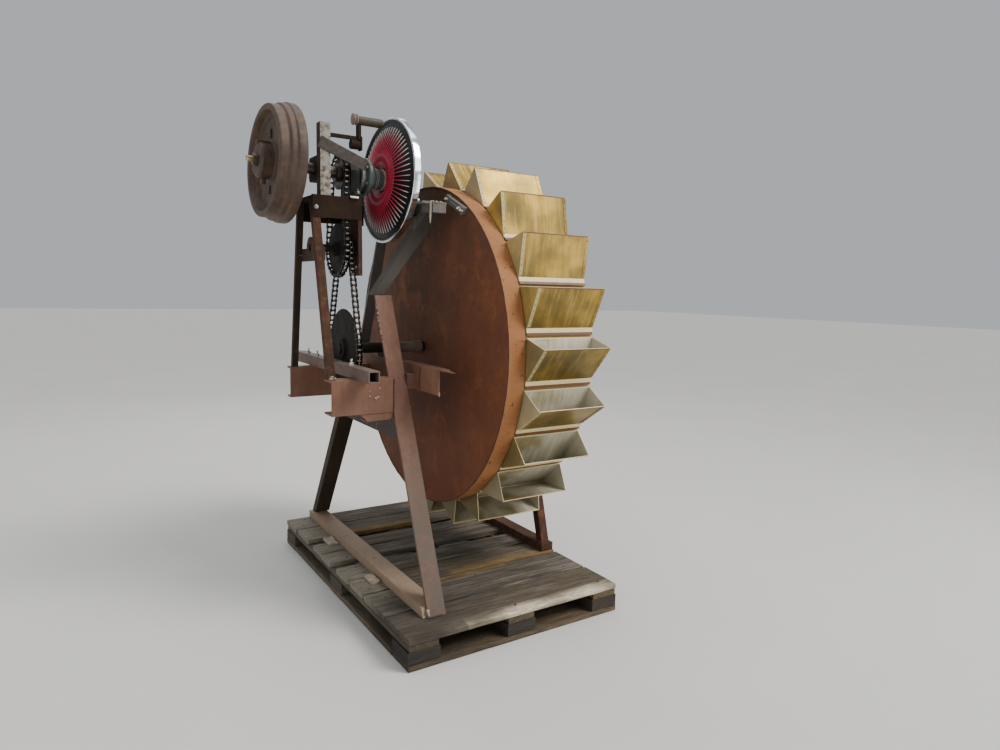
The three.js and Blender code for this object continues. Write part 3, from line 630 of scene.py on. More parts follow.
# Sets one small pattern piece on many points, turned by each point's own angles
def makeRepeatTree():
    tree = bpy.data.node_groups.new("repeatPiece", "GeometryNodeTree")
    for name, kind in (("Points", "Geometry"), ("Pattern", "Object"), ("Finish", "Material"),
                       ("Size change", "Float"), ("Seed", "Int")):
        tree.interface.new_socket(name, in_out="INPUT", socket_type="NodeSocket" + kind)
    tree.interface.new_socket("Geometry", in_out="OUTPUT", socket_type="NodeSocketGeometry")
    add = partial(addNode, tree)
    given = tree.nodes.new("NodeGroupInput").outputs
    turn = add("GeometryNodeInputNamedAttribute", {"Name": "turn"}, data_type="FLOAT_VECTOR")
    pattern = add("GeometryNodeObjectInfo", {"Object": given["Pattern"]}, "Geometry")
    least, most = (add("Math", [1.0, given["Size change"]], operation=kind) for kind in ("SUBTRACT", "ADD"))
    size = add("FunctionNodeRandomValue", {2: least, 3: most, "Seed": given["Seed"]}, 1, data_type="FLOAT")
    placed = add("GeometryNodeInstanceOnPoints", {
        "Points": given["Points"], "Instance": pattern, "Rotation": turn, "Scale": size})
    real = add("GeometryNodeRealizeInstances", {"Geometry": placed})
    dressed = add("GeometryNodeSetMaterial", {"Geometry": real, "Material": given["Finish"]})
    feed(tree.nodes.new("NodeGroupOutput"), {"Geometry": dressed})
    return tree


repeatTree = makeRepeatTree()


# Repeats a pattern on spots, each a place with its angles, as one mesh that rides on its body
def scatter(name, pattern, spots, finish, body, replaced=(), sizeChange=0.0, seed=1):
    cloud = bpy.data.meshes.new(name)
    cloud.from_pydata([tuple(spot) for spot, turn in spots], [], [])
    turns = cloud.attributes.new("turn", "FLOAT_VECTOR", "POINT")
    turns.data.foreach_set("vector", [a for spot, turn in spots for a in turn])
    holder = link(bpy.data.objects.new(name + "Points", cloud))
    step = holder.modifiers.new("repeat", "NODES")
    step.node_group = repeatTree
    values = {"Pattern": pattern, "Finish": finishes[finish], "Size change": sizeChange, "Seed": seed}
    for socket in repeatTree.interface.items_tree:
        if socket.in_out == "INPUT" and socket.name in values:
            step[socket.identifier] = values[socket.name]
    depsgraph = bpy.context.evaluated_depsgraph_get()
    mesh = bpy.data.meshes.new_from_object(holder.evaluated_get(depsgraph))
    mesh.name = name
    holder.modifiers.remove(step)
    piece = link(bpy.data.objects.new(name, mesh))
    for spent in (holder, pattern):
        bpy.data.objects.remove(spent)
    settle(piece, body, replaced)


# Angles that turn a pattern's Z axis to a direction
def facing(direction, spin=0.0):
    turn = Vector(direction).to_track_quat("Z", "Y") @ Euler((0, 0, spin)).to_quaternion()
    return tuple(turn.to_euler())


# Angles that turn a pattern about the X axis of place
def aboutX(place, angle):
    return tuple((place.to_quaternion() @ Euler((angle, 0, 0)).to_quaternion()).to_euler())


# Hexagon bolt with its washer and the end of its thread, standing on its Z axis, by its width across flats
def boltPattern(name, width, stub=0.35):
    shape = bmesh.new()
    flat = width / 2000
    washer, point, high = flat * 1.42, flat / math.cos(math.pi / 6), flat * 1.24

    def stack(count, *levels):
        angles = [2 * math.pi * k / count for k in range(count)]
        skinInto(shape, [[shape.verts.new((r * math.cos(a), r * math.sin(a), z)) for a in angles]
                         for r, z in levels])

    stack(18, (washer, 0), (washer, flat * 0.16), (washer * 0.96, flat * 0.22))
    stack(6, (point * 0.97, flat * 0.22), (point, flat * 0.3), (point, high * 0.86), (point * 0.9, high))
    stack(12, (flat * 0.52, high - 0.0002), (flat * 0.52, high + flat * stub),
          (flat * 0.44, high + flat * (stub + 0.12)))
    return fromBmesh(name, shape, "bolt", 30)


# Pallet: rough boards, in millimetres but for the wear, with stain along the edges of three deck boards
palletSettings = {
    "deckBoards": [(-617.5, -444), (-438, -262), (-250, -128), (-120, 2), (56, 158), (166, 267), (331, 470),
                   (478, 617.5)],
    "rows": [(-617.5, -497.5), (-60, 60), (497.5, 617.5)],
    "columns": [(-408, -298), (-55, 55), (298, 408)],
    "splinters": [((-352, -312), (222, 310)), ((-349, -313), (-205, -128))],
    "sections": 48,  # cross sections along a board
    "raggedness": 0.0016, "corner": 0.0022, "nailSeed": 11,
    "stains": [
        {"board": 6, "y": 0.342, "half": 0.045, "x0": -0.23, "x1": 0.10},
        {"board": 1, "y": -0.262, "half": 0.03, "x0": -0.15, "x1": 0.16},
        {"board": 2, "y": -0.240, "half": 0.034, "x0": -0.06, "x1": 0.40}],
}


# Lofts a rough-sawn board along an axis, with chipped corners and uneven ends
def boardInto(shape, layers, spans, axis, seed, chip=None, sections=palletSettings["sections"], ends=0.003):
    tone, fresh, stain = layers
    low, high = (Vector([span[i] for span in spans]) for i in (0, 1))
    across = 1 - axis
    rng = random.Random(seed)
    boardTone = rng.random()
    width, thick = high[across] - low[across], high.z - low.z
    corner, ragged = palletSettings["corner"], palletSettings["raggedness"]
    inset = [rng.uniform(0, ends) for side in range(2)]
    start, end = low[axis] + inset[0], high[axis] - inset[1]
    outline = [(0, corner), (0, thick * 0.5), (0, thick - corner), (corner, thick)]
    outline += [(width * share, thick) for share in (0.12, 0.3, 0.5, 0.7, 0.88)]
    outline += [(width - corner, thick), (width, thick - corner), (width, thick * 0.5), (width, corner),
                (width - corner, 0), (width * 0.66, 0), (width * 0.33, 0), (corner, 0)]
    rings = []
    for i in range(sections + 1):
        along = start + (end - start) * i / sections
        ring = []
        for u, v in outline:
            wave = noise.noise(Vector((along * 9, u * 30 + seed * 3.7, v * 40)))
            fine = noise.noise(Vector((along * 55, u * 90, seed * 1.3 + v * 90)))
            drop = ragged * (0.5 + 0.5 * wave) + ragged * 0.4 * abs(fine)
            pulled = u + drop * (1 if u < width * 0.1 else -1 if u > width * 0.9 else 0)
            lifted = v + (-0.6 * drop if v > thick * 0.9 else 0.3 * drop if v < thick * 0.1 else 0)
            newWood = slip = 0.0
            if chip:
                bite, newWood = chip(along, u, v, width, thick)
                pulled += bite[0]
                lifted -= bite[1]
            if i in (0, sections):
                slip = (-1 if i else 1) * ends * 0.6 * abs(noise.noise(Vector((u * 70, v * 60, seed))))
            spot = Vector((0, 0, 0))
            spot[axis] = along + slip
            spot[across] = low[across] + min(max(pulled, 0.0), width)
            spot.z = low.z + min(max(lifted, 0.0), thick)
            vert = shape.verts.new(spot)
            vert[tone], vert[fresh], vert[stain] = boardTone, min(1.0, newWood), stainAt(spot, seed)
            ring.append(vert)
        rings.append(ring)
    skinInto(shape, rings)


# Yellow stain and lichen along a deck board's edge, by the board's number
def stainAt(spot, board):
    best = 0.0
    for edge in palletSettings["stains"]:
        if edge["board"] == board and edge["x0"] < spot.x < edge["x1"]:
            near = min(1.0, 1.6 * max(0.0, 1 - abs(spot.y - edge["y"]) / edge["half"]))
            best = max(best, near * (0.75 + 0.5 * noise.noise(Vector((spot.x * 22, spot.y * 30, 3)))))
    return min(1.0, max(0.0, best))


# The front board's edge has split away towards its right end
def frontChip(along, u, v, width, thick):
    nearEdge = max(0.0, 1 - u / 0.05)
    deep = max(0.0, noise.noise(Vector((along * 6.5, 1.7, 0.4))) + 0.28 + 0.3 * (along > 0.0))
    jag = 0.55 + 0.45 * noise.noise(Vector((along * 60, v * 150, 2.2)))
    if along < -0.2:
        deep *= 0.25
    bite = 0.024 * deep * jag * nearEdge * (v / thick)
    drop = 0.010 * deep * (0.6 + 0.4 * jag) * nearEdge * (1 if v > thick * 0.6 else 0)
    return (bite, drop), min(1.0, 2.1 * deep * nearEdge * (0.35 + 0.65 * v / thick))


# Two bits of split wood lying beside the rail
def splitWood(along, u, v, width, thick):
    jag = 0.5 + 0.5 * noise.noise(Vector((along * 60, u * 120, 5.1)))
    return (0.0, 0.007 * jag), 0.35 + 0.5 * jag


def makePallet(settings):
    (deckLow, deckHigh), (baseLow, baseHigh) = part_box("pallet_deck"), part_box("pallet_base")
    thick = baseHigh.z - baseLow.z
    top = deckHigh.z
    deckBoards, rows, columns, splinters = (
        [tuple(Vector(span) / 1000 for span in item) if isinstance(item[0], tuple) else Vector(item) / 1000
         for item in settings[key]] for key in ("deckBoards", "rows", "columns", "splinters"))
    under = (top - 2 * thick, top - thick)
    outer = (columns[0], columns[2])
    pieces = {
        "palletDeckBoards": ("deckWood", "pallet_deck_wood", [], [
            (((deckLow.x, deckHigh.x), span, (top - thick + 0.0002, top)), 0, i,
             frontChip if i == 0 else None, 110 if i == 0 else settings["sections"], 0.005)
            for i, span in enumerate(deckBoards)]),
        "palletBearers": ("baseWoodInShade", "pallet_deck_wood", [], [
            (((x0 + 0.004, x1 - 0.004), (deckLow.y + 0.002, deckHigh.y - 0.002), under), 1, 20 + i)
            for i, (x0, x1) in enumerate(columns)] + [
            ((span, way, (0.0002, thick)), 1, seed + i) for i, span in enumerate(outer)
            for seed, way in ((30, (-0.4975, -0.06)), (34, (0.06, 0.4975)))]),
        "palletBottomBoards": ("bottomWood", "pallet_base_wood", ["pallet_base"], [
            (((baseLow.x, baseHigh.x), span, (0.0, thick)), 0, 40 + i) for i, span in enumerate(rows)]),
        "palletBlocks": ("blockWoodInShade", "pallet_deck_wood", ["pallet_deck"], [
            ((column, row, (thick, under[0])), 0, 50 + 3 * i + j, None, 14, 0.002)
            for i, row in enumerate(rows) for j, column in enumerate(columns)]),
        "palletSplinters": ("deckWood", "pallet_deck_wood", [], [
            ((xs, ys, (top, top + 0.013)), 1, 70 + i, splitWood, 16, 0.012)
            for i, (xs, ys) in enumerate(splinters)]),
    }
    for name, (finish, slot, replaced, boards) in pieces.items():
        shape = bmesh.new()
        layers = [shape.verts.layers.float.new(n) for n in ("tone", "fresh", "stain")]
        for board in boards:
            boardInto(shape, layers, *board)
        settle(fromBmesh(name, shape, finish, 32), "stand", replaced)
    nails = []
    rng = random.Random(settings["nailSeed"])
    for y0, y1 in settings["deckBoards"]:
        for x0, x1 in settings["columns"]:
            for share in (0.24, 0.76):
                x = (x0 + x1) / 2 + rng.uniform(-22, 22)
                y = y0 + (y1 - y0) * share + rng.uniform(-6, 6)
                nails.append((Vector((x / 1000, y / 1000, top - 0.0009)), (0, 0, 0)))
    head = headPattern("nailPattern", (-1, 0.7, 1.1), (4.2, 4.2, 2.6), 12, "bolt")
    scatter("palletNails", head, nails, "weld", "stand", (), 0.1, 3)


makePallet(palletSettings)
print("stage: pallet made")


# Wheel: the plate disc with its tread band, the drum behind it and the end plate
wheelSettings = {
    "segments": 192, "bore": 19.3, "band": 601, "bandInner": 596.4, "bandWidth": 64, "plate": 6,
    "drum": 596, "drumWall": 5, "endPlate": 6, "width": 343, "buckets": 22, "firstLip": 3.4,
}


def makeWheel(settings):
    bore, band, inner, wide, plate, drum, end = (
        settings[k] for k in ("bore", "band", "bandInner", "bandWidth", "plate", "drum", "width"))
    wall, back, front = drum - settings["drumWall"], end - settings["endPlate"], plate + 0.3
    for name, finish, soften, node, profile in (
            ("wheelPlate", "plate", 1.5, "wheel_disc", [
                (bore, 0), (band, 0), (band, wide), (inner, wide), (inner, plate), (bore, plate)]),
            ("wheelDrum", "drum", 1.0, "wheel_drum", [
                (bore, back), (wall, back), (wall, front), (drum, front), (drum, end), (bore, end)])):
        turnedPiece(name, profile, axlePlace, settings["segments"], finish, soften, "water_wheel",
                    [node])


makeWheel(wheelSettings)

# Buckets: each corner is a radius with its angle from the lip; the flange's thickness, the slack and the
# strip's inset are in metres, and the other sizes in millimetres
bucketSettings = {
    "start": 67, "end": 341, "lip": (697, 0), "top": (600, 3.5), "foot": (606, -9.9), "root": (600.5, -9.7),
    "stripOut": (603.6, -12.2), "stripIn": (600, -12.2),
    "sheet": 2.2, "hem": 4.2, "wave": 1.1, "flangeWidth": 12, "flangeThick": 0.0011, "slack": 0.0004,
    "stripInset": 0.0006, "rivets": 6, "seed": 5,
}


# A thin wavy sheet between four corners, with its inner face, its last row and its reach marked
def sheetInto(shape, layers, corners, thickness, inward, counts, wave, seed):
    kind, reach = layers
    footNear, footFar, lipFar, lipNear = corners
    countU, countV = counts
    shares = [j / countV for j in range(countV + 1)]
    shares.insert(-1, 1 - bucketSettings["hem"] / 1000 / (lipNear - footNear).length)
    sides = []
    for side in (0, 1):
        rows = []
        for t in shares:
            row = []
            for i in range(countU + 1):
                s = i / countU
                spot = footNear.lerp(footFar, s).lerp(lipNear.lerp(lipFar, s), t)
                fade = min(1, 5 * s, 5 * (1 - s)) * min(1, 5 * t, 5 * (1 - t))
                bend = wave * fade * (0.5 + 0.5 * noise.noise(Vector((s * 3.1, t * 2.3, seed * 1.7))))
                vert = shape.verts.new(spot + inward * (bend + thickness * side))
                vert[reach] = t
                row.append(vert)
            rows.append(row)
        sides.append(rows)
    hem = len(shares) - 2
    low, high = sides
    for j in range(hem + 1):
        for side, rows in enumerate(sides):
            for i in range(countU):
                face = shape.faces.new((rows[j][i], rows[j][i + 1], rows[j + 1][i + 1], rows[j + 1][i]))
                face[kind] = 3.0 - side if j == hem else float(side)
        for i in (0, countU):
            face = shape.faces.new((low[j][i], low[j + 1][i], high[j + 1][i], high[j][i]))
            face[kind] = 0.0
    for i in range(countU):
        for j, mark in ((0, 0.0), (hem + 1, 2.0)):
            face = shape.faces.new((low[j][i], low[j][i + 1], high[j][i + 1], high[j][i]))
            face[kind] = mark


# A flat plate from an outline about the axle, drawn from x0 to x1, with marks for its two faces and its edges
def plateInto(shape, layers, outline, x0, x1, marks):
    kind, reach = layers
    sides, ends = prismInto(shape, [Vector((x0, 0, 0)) + point for point in outline], ((x1 - x0) * 1000, 0, 0))
    for face, mark in [*zip(ends, marks), *((side, marks[2]) for side in sides)]:
        face[kind] = mark
    for vert in {vert for face in ends for vert in face.verts}:
        vert[reach] = min(1.0, max(0.0, (vert.co.yz.length - 0.6) / 0.097))
        vert.co += axle


# One bucket at its own place round the wheel: two bent sheets, two ends and a foot strip
def bucketInto(shape, layers, turn, seed, settings):
    corners = []
    for key in ("lip", "top", "foot", "root", "stripOut", "stripIn"):
        radius, degrees = settings[key]
        angle = math.radians(degrees)
        corners.append(turn @ (Vector((0, -radius * math.cos(angle), radius * math.sin(angle))) / 1000))
    lip, top, foot, root, stripOut, stripIn = corners
    x0, x1, sheet = (settings[key] / 1000 for key in ("start", "end", "sheet"))
    slack, stripStart, stripEnd = settings["slack"], x0 + settings["stripInset"], x1 - settings["stripInset"]
    wave = settings["wave"] / 1000 * random.Random(seed).uniform(0.5, 1.4)
    ways = []
    for low, high, facingTo, counts, share, moreSeed in (
            (foot, lip, top, (16, 7), 1, 0), (root, top, lip, (10, 3), 0.6, 50)):
        way = (high - low).cross(alongX).normalized()
        if way.dot(facingTo - low) < 0:
            way.negate()
        edges = [axle + Vector((x, 0, 0)) + spot for x, spot in (
            (x0 + slack, low), (x1 - slack, low), (x1 - slack, high), (x0 + slack, high))]
        sheetInto(shape, layers, edges, sheet, way, counts, wave * share, seed + moreSeed)
        ways.append(way)
    ends = [root, foot, lip, top]
    outerFold, innerFold = foot.lerp(stripOut, 0.62), root.lerp(stripIn, 0.62)
    for outline, start, end, marks in (
            (ends, x0, x0 + sheet, (4.0, 1.0, 2.0)), (ends, x1 - sheet, x1, (1.0, 0.0, 2.0)),
            ([foot, outerFold, innerFold, root], stripStart, stripEnd, (2.0, 2.0, 2.0)),
            ([outerFold, stripOut, stripIn, innerFold], stripStart, stripEnd, (3.0, 3.0, 3.0))):
        plateInto(shape, layers, outline, start, end, marks)
    return foot, lip, ways[0]


# All the buckets, with folded flanges and rivets along the ends of each front sheet
def makeBuckets(settings):
    shape = bmesh.new()
    layers = (shape.faces.layers.float.new("kind"), shape.verts.layers.float.new("reach"))
    tone = shape.verts.layers.float.new("tone")
    count = wheelSettings["buckets"]
    flange = settings["flangeWidth"] / 1000
    rivetSpots = []
    rng = random.Random(settings["seed"])
    for i in range(count):
        turn = Matrix.Rotation(-(math.radians(wheelSettings["firstLip"]) + 2 * math.pi / count * i), 3, "X")
        before = len(shape.verts)
        foot, lip, inward = bucketInto(shape, layers, turn, i, settings)
        outward = -inward
        edge = [foot.lerp(lip, 0.03), foot.lerp(lip, 0.965)]
        outline = edge + [point + outward * settings["flangeThick"] for point in edge[::-1]]
        for key, way, mark in (("start", 1, 5.0), ("end", -1, 0.0)):
            x = settings[key] / 1000 + way * settings["slack"]
            plateInto(shape, layers, outline, *sorted((x, x + way * flange)), (mark, mark, mark))
            for k in range(settings["rivets"]):
                t = 0.12 + 0.76 * k / (settings["rivets"] - 1) + rng.uniform(-0.01, 0.01)
                spot = axle + Vector((x + way * flange * 0.5, 0, 0)) + foot.lerp(lip, t) + outward * 0.001
                rivetSpots.append((spot, facing(outward)))
        shape.verts.ensure_lookup_table()
        for vert in shape.verts[before:]:
            vert[tone] = i * 0.37
    buckets = fromBmesh("sheetBuckets", shape, "zinc", 30)
    settle(buckets, "water_wheel", sorted(name for name in nodes if name.startswith("bucket_")))
    dot = headPattern("dotPattern", (-0.4, 0.5, 1.1), (1.9, 1.8, 0.9), 8, "weld")
    scatter("bucketRivets", dot, rivetSpots, "weld", "water_wheel", (), 0.25, 5)


makeBuckets(bucketSettings)
print("stage: wheel and buckets made")


# Chains: plates, pins and rollers set link by link round two sprockets, and the sprockets' teeth
chainSettings = {
    "pitch": 19.05,
    "lower": {"teeth": (49, 18), "plane": lowerPlane, "ends": ((0, 0), (-10, 355))},
    "upper": {"teeth": (31, 20), "plane": upperPlane, "ends": ((-10, 355), (-31, 612))},
    "plateHeight": 15.0, "plateThick": 1.8, "innerPlate": 7.2, "outerPlate": 9.3, "pin": 2.6, "roller": 4.2,
    "toothThick": 4.6, "toothFoot": 7.4, "toothGap": 0.7, "toothHalves": (4.2, 1.7), "discDrop": 5.9,
}


def pitchRadius(teeth):
    return chainSettings["pitch"] / (2 * math.sin(math.pi / teeth))


# Pin positions round two circles, spaced evenly at close to the pitch
def pinPath(first, second, r1, r2):
    dy, dz = second[0] - first[0], second[1] - first[1]
    reach = math.hypot(dy, dz)
    heading = math.atan2(dz, dy)
    lean = math.acos((r1 - r2) / reach)
    straight = math.sqrt(reach ** 2 - (r1 - r2) ** 2)
    arcs = [2 * lean * r2, straight, (2 * math.pi - 2 * lean) * r1, straight]
    count = 2 * round(sum(arcs) / chainSettings["pitch"] / 2)

    def rim(centre, radius, angle):
        return centre[0] + radius * math.cos(angle), centre[1] + radius * math.sin(angle)

    def between(here, there, t):
        return tuple(p + (q - p) * t for p, q in zip(here, there))

    def pointAt(s):
        if s < arcs[0]:
            return rim(second, r2, heading - lean + s / r2)
        s -= arcs[0]
        if s < arcs[1]:
            return between(rim(second, r2, heading + lean), rim(first, r1, heading + lean), s / arcs[1])
        s -= arcs[1]
        if s < arcs[2]:
            return rim(first, r1, heading + lean + s / r1)
        return between(rim(first, r1, heading - lean), rim(second, r2, heading - lean), (s - arcs[2]) / arcs[3])

    return [pointAt(sum(arcs) * i / count) for i in range(count)]


# One link's two side plates, waisted between their eyes, lying along Y
def platePattern(name, offset):
    shape = bmesh.new()
    high, thick = chainSettings["plateHeight"] / 2, chainSettings["plateThick"]
    outline = []
    for way in (1, -1):
        for k in range(7):
            a = math.radians(-78 + 26 * k)
            outline.append((way * (chainSettings["pitch"] / 2 + high * math.cos(a)), way * high * math.sin(a)))
        outline.append((0, way * high * 0.7))
    for x in (-offset, offset):
        prismInto(shape, [Vector((x - thick / 2, u, v)) / 1000 for u, v in outline], (thick, 0, 0))
    return fromBmesh(name, shape, "chainPlate")


# A pin or roller across the chain, by half its length, its radius, and the size of its chamfer
def pinPattern(name, half, radius, chamfer, narrow):
    shape = bmesh.new()
    spots = [Vector((x, 0, 0)) / 1000 for x in (-half, chamfer - half, half - chamfer, half)]
    rodInto(shape, spots, [radius * share / 1000 for share in (narrow, 1, 1, narrow)], 10)
    return fromBmesh(name, shape, "chainPin")


# How far the upper chain swings out of its plane to follow the leaning top sprocket
def topSwing(y, z):
    centre = chainSettings["upper"]["ends"][1]
    share = min(1.0, max(0.0, (z - 420) / 160))
    return share * (-(y - centre[0]) * topAxis.y / topAxis.x - (z - centre[1]) * topAxis.z / topAxis.x)


def makeChain(name, settings, swing, node):
    path = pinPath(*settings["ends"], *(pitchRadius(teeth) for teeth in settings["teeth"]))
    outerSpots, innerSpots, pins = [], [], []
    for i, (y, z) in enumerate(path):
        nextY, nextZ = path[(i + 1) % len(path)]
        here, there = swing(y, z), swing(nextY, nextZ)
        middle = at(settings["plane"] + (here + there) / 2, (y + nextY) / 2, (z + nextZ) / 2)
        (innerSpots if i % 2 else outerSpots).append((middle, (math.atan2(nextZ - z, nextY - y), 0, 0)))
        pins.append((at(settings["plane"] + here, y, z), (0, 0, 0)))
    inner, outer = chainSettings["innerPlate"], chainSettings["outerPlate"]
    for part, pattern, spots, finish, replaced in (
            ("InnerPlates", platePattern("innerPlates", inner), innerSpots, "chainPlate", [node]),
            ("OuterPlates", platePattern("outerPlates", outer), outerSpots, "chainPlate", []),
            ("Pins", pinPattern("pinPattern", outer + 1.7, chainSettings["pin"], 0.5, 0.7), pins, "chainPin", []),
            ("Rollers", pinPattern("rollerPattern", inner - 1.1, chainSettings["roller"], 0.6, 0.85), pins,
             "chainPin", [])):
        scatter(name + part, pattern, spots, finish, "stand", replaced)


makeChain("lowerChain", chainSettings["lower"], lambda y, z: 0.0, "lower_chain")
makeChain("upperChain", chainSettings["upper"], topSwing, "upper_chain")


# Sprocket teeth, short enough to stay clear of the rollers
def makeTeeth(name, teeth, place, x, body):
    root = pitchRadius(teeth) - chainSettings["toothFoot"]
    tip = pitchRadius(teeth) - chainSettings["roller"] - chainSettings["toothGap"]
    thick = chainSettings["toothThick"]
    halfRoot, halfTip = chainSettings["toothHalves"]
    tooth = bmesh.new()
    corners = [(-halfRoot, root), (halfRoot, root), (halfTip, tip), (-halfTip, tip)]
    prismInto(tooth, [Vector((-thick / 2, u, v)) / 1000 for u, v in corners], (thick, 0, 0))
    centre = place @ Vector((x / 1000, 0, 0))
    spots = [(centre, aboutX(place, 2 * math.pi * i / teeth)) for i in range(teeth)]
    scatter(name, fromBmesh("toothPattern", tooth, "darkShaft"), spots, "darkShaft", body)


shaftSettings = {"axle": 19, "layshaft": 14, "segments": 96, "disc": 5}


def makeShafts(settings):
    r, s, half, segments = settings["axle"], settings["layshaft"], settings["disc"] / 2, settings["segments"]
    teeth = (*chainSettings["lower"]["teeth"], *chainSettings["upper"]["teeth"])
    big, small, middle, top = (pitchRadius(number) - chainSettings["discDrop"] for number in teeth)
    x, u = lowerPlane, upperPlane
    turnedPiece("mainShaft", [
        (0.01, x - 22), (r, x - 22), (r, x - 14), (36, x - 14), (36, x - half), (big - 16, x - half - 0.6),
        (big - 14, x - half), (big, x - half), (big, x + half), (big - 14, x + half), (36, x + half),
        (36, x + 18), (r, x + 18), (r, -46), (24, -46), (24, -14), (r, -14), (r, 343.3), (30, 343.3),
        (30, 369), (r, 369), (r, 436), (0.01, 436)],
        axlePlace, segments, "darkShaft", 0.8, "water_wheel", ["main_shaft"])
    turnedPiece("mainShaftSleeve", [
        (18.8, -118), (20.4, -117), (20.4, -47), (24.6, -45), (25, -42), (24.6, -15), (22, -13), (18.8, -13)],
        axlePlace, 56, "tubePrimer", 0.9, "water_wheel")
    makeTeeth("mainSprocketTeeth", teeth[0], axlePlace, x, "water_wheel")
    turnedPiece("layshaftBar", [
        (0.01, -433), (s, -433), (s, u - 20), (26, u - 20), (26, u - half), (middle, u - half),
        (middle, u + half), (26, u + half), (26, x - half), (small, x - half), (small, x + half),
        (24, x + half), (24, x + 14), (s, x + 14), (s, -262), (0.01, -262)],
        layPlace, segments, "darkShaft", 0.8, "layshaft_set", ["layshaft"])
    makeTeeth("layshaftDrivenTeeth", teeth[1], layPlace, x, "layshaft_set")
    makeTeeth("layshaftDrivingTeeth", teeth[2], layPlace, u, "layshaft_set")
    turnedPiece("topShaft", topProfile([
        (0.01, -640), (r, -640), (r, u - 18), (30, u - 18), (30, u - half), (top, u - half), (top, u + half),
        (30, u + half), (30, u + 14), (r, u + 14), (r, -58), (0.01, -58)]),
        topPlace, segments, "shaft", 0.8, "top_set", ["top_shaft"])
    makeTeeth("topSprocketTeeth", teeth[3], topPlace, 0, "top_set")
    turnedPiece("brassStub", topProfile([(0.01, -660), (8.4, -660), (9.6, -657), (9.6, -628), (0.01, -628)]),
                topPlace, 40, "brass", 0.5, "top_set")


makeShafts(shaftSettings)
print("stage: chains and shafts made")


# Top set: flywheel, hub and spoked wheel
topSettings = {
    "segments": 144,
    # the flywheel's key and catches: two corners of each, and how far its edges are softened
    "keys": [((-630, -9, 50), (-586, 9, 62), 1.5), ((-612, -7, -74), (-598, 7, -52), 1.5),
             ((-588, -5, 76), (-578, 5, 104), 1.0), ((-588, -5, -104), (-578, 5, -76), 1.0)],
    "windings": [
        {"turns": 5, "first": 0.0, "radius": 44.2, "sway": (1.0, 0.37, 1), "jitter": 0.15,
         "from": -278, "reach": 13, "drift": 0.0, "cable": 0.0019},
        {"turns": 4, "first": 0.6, "radius": 35.6, "sway": (0.9, 0.61, 0), "jitter": 0.1,
         "from": -238, "reach": 30, "drift": 2.5, "cable": 0.0017}],
    "windingSteps": 36, "windingSeed": 8,
    "hubBolts": {"count": 6, "circle": 54, "x": -261, "width": 10},
    "fins": 60, "finFoot": 56, "finTip": 190,
    # radius, front and back along the shaft, thickness
    "finSections": [(64, -198.4, -190, 1.0), (96, -195.6, -186, 1.9), (112, -192.2, -184, 2.6),
                    (150, -181.3, -173, 3.2), (178, -172.8, -165, 3.0), (187, -169.8, -162, 1.6)],
}


def makeFlywheel(settings):
    turnedPiece("flywheelCasting", topProfile([
        (19.3, -628), (50, -628), (56, -622), (56, -584), (60, -582), (148, -582), (154, -587), (160, -607),
        (163, -608), (177, -608), (180, -604), (180, -579), (188, -572), (188, -556), (193, -552), (193, -527),
        (190, -524), (184, -524), (180, -562), (70, -566), (60, -528), (19.3, -528)]),
        topPlace, settings["segments"], "flywheel", 3.0, "top_set", ["flywheel"])
    keys = bmesh.new()
    for low, high, soften in settings["keys"]:
        before = set(keys.verts)
        blockInto(keys, low, high, soften)
        for vert in set(keys.verts) - before:
            vert.co = onTop(*((vert.co - axle) * 1000))
    settle(fromBmesh("flywheelKeys", keys, "flywheel"), "top_set")


def makeHub(settings):
    turnedPiece("wheelHubBody", topProfile([
        (19.3, -281), (38, -281), (42, -278), (42, -264), (44, -262), (62, -261), (66, -258), (66, -246),
        (62, -243), (38, -241), (34, -238), (34, -180), (31, -172.4), (19.3, -172.4)]),
        topPlace, settings["segments"], "greenHub", 1.2, "top_set", ["wheel_hub"])
    turnedPiece("hubEndRing", topProfile([
        (20, -190), (36.5, -190), (38.4, -188), (38.4, -183), (36.5, -181), (20, -181)]),
        topPlace, 64, "spatter", 1.0, "top_set")
    winding = bmesh.new()
    rng = random.Random(settings["windingSeed"])
    for coil in settings["windings"]:
        steps = coil["turns"] * settings["windingSteps"]
        sway, pace, phase = coil["sway"]
        points = []
        for i in range(steps + 1):
            t = i / steps
            angle = 2 * math.pi * coil["turns"] * t + coil["first"]
            radius = coil["radius"] + sway * math.sin(angle * pace + phase)
            radius += rng.uniform(-coil["jitter"], coil["jitter"])
            x = coil["from"] + coil["reach"] * t + coil["drift"] * math.sin(angle * 0.43)
            points.append(onTop(x, radius * math.cos(angle), radius * math.sin(angle)))
        rodInto(winding, points, coil["cable"], 7)
    settle(fromBmesh("hubWinding", winding, "wire"), "top_set")
    bolts = settings["hubBolts"]
    spots = []
    for k in range(bolts["count"]):
        angle = math.pi / 6 + math.pi / 3 * k
        spots.append((onTop(bolts["x"], bolts["circle"] * math.cos(angle), bolts["circle"] * math.sin(angle)),
                      facing(-topAxis, k)))
    scatter("hubBolts", boltPattern("hubBoltPattern", bolts["width"]), spots, "bolt", "top_set")


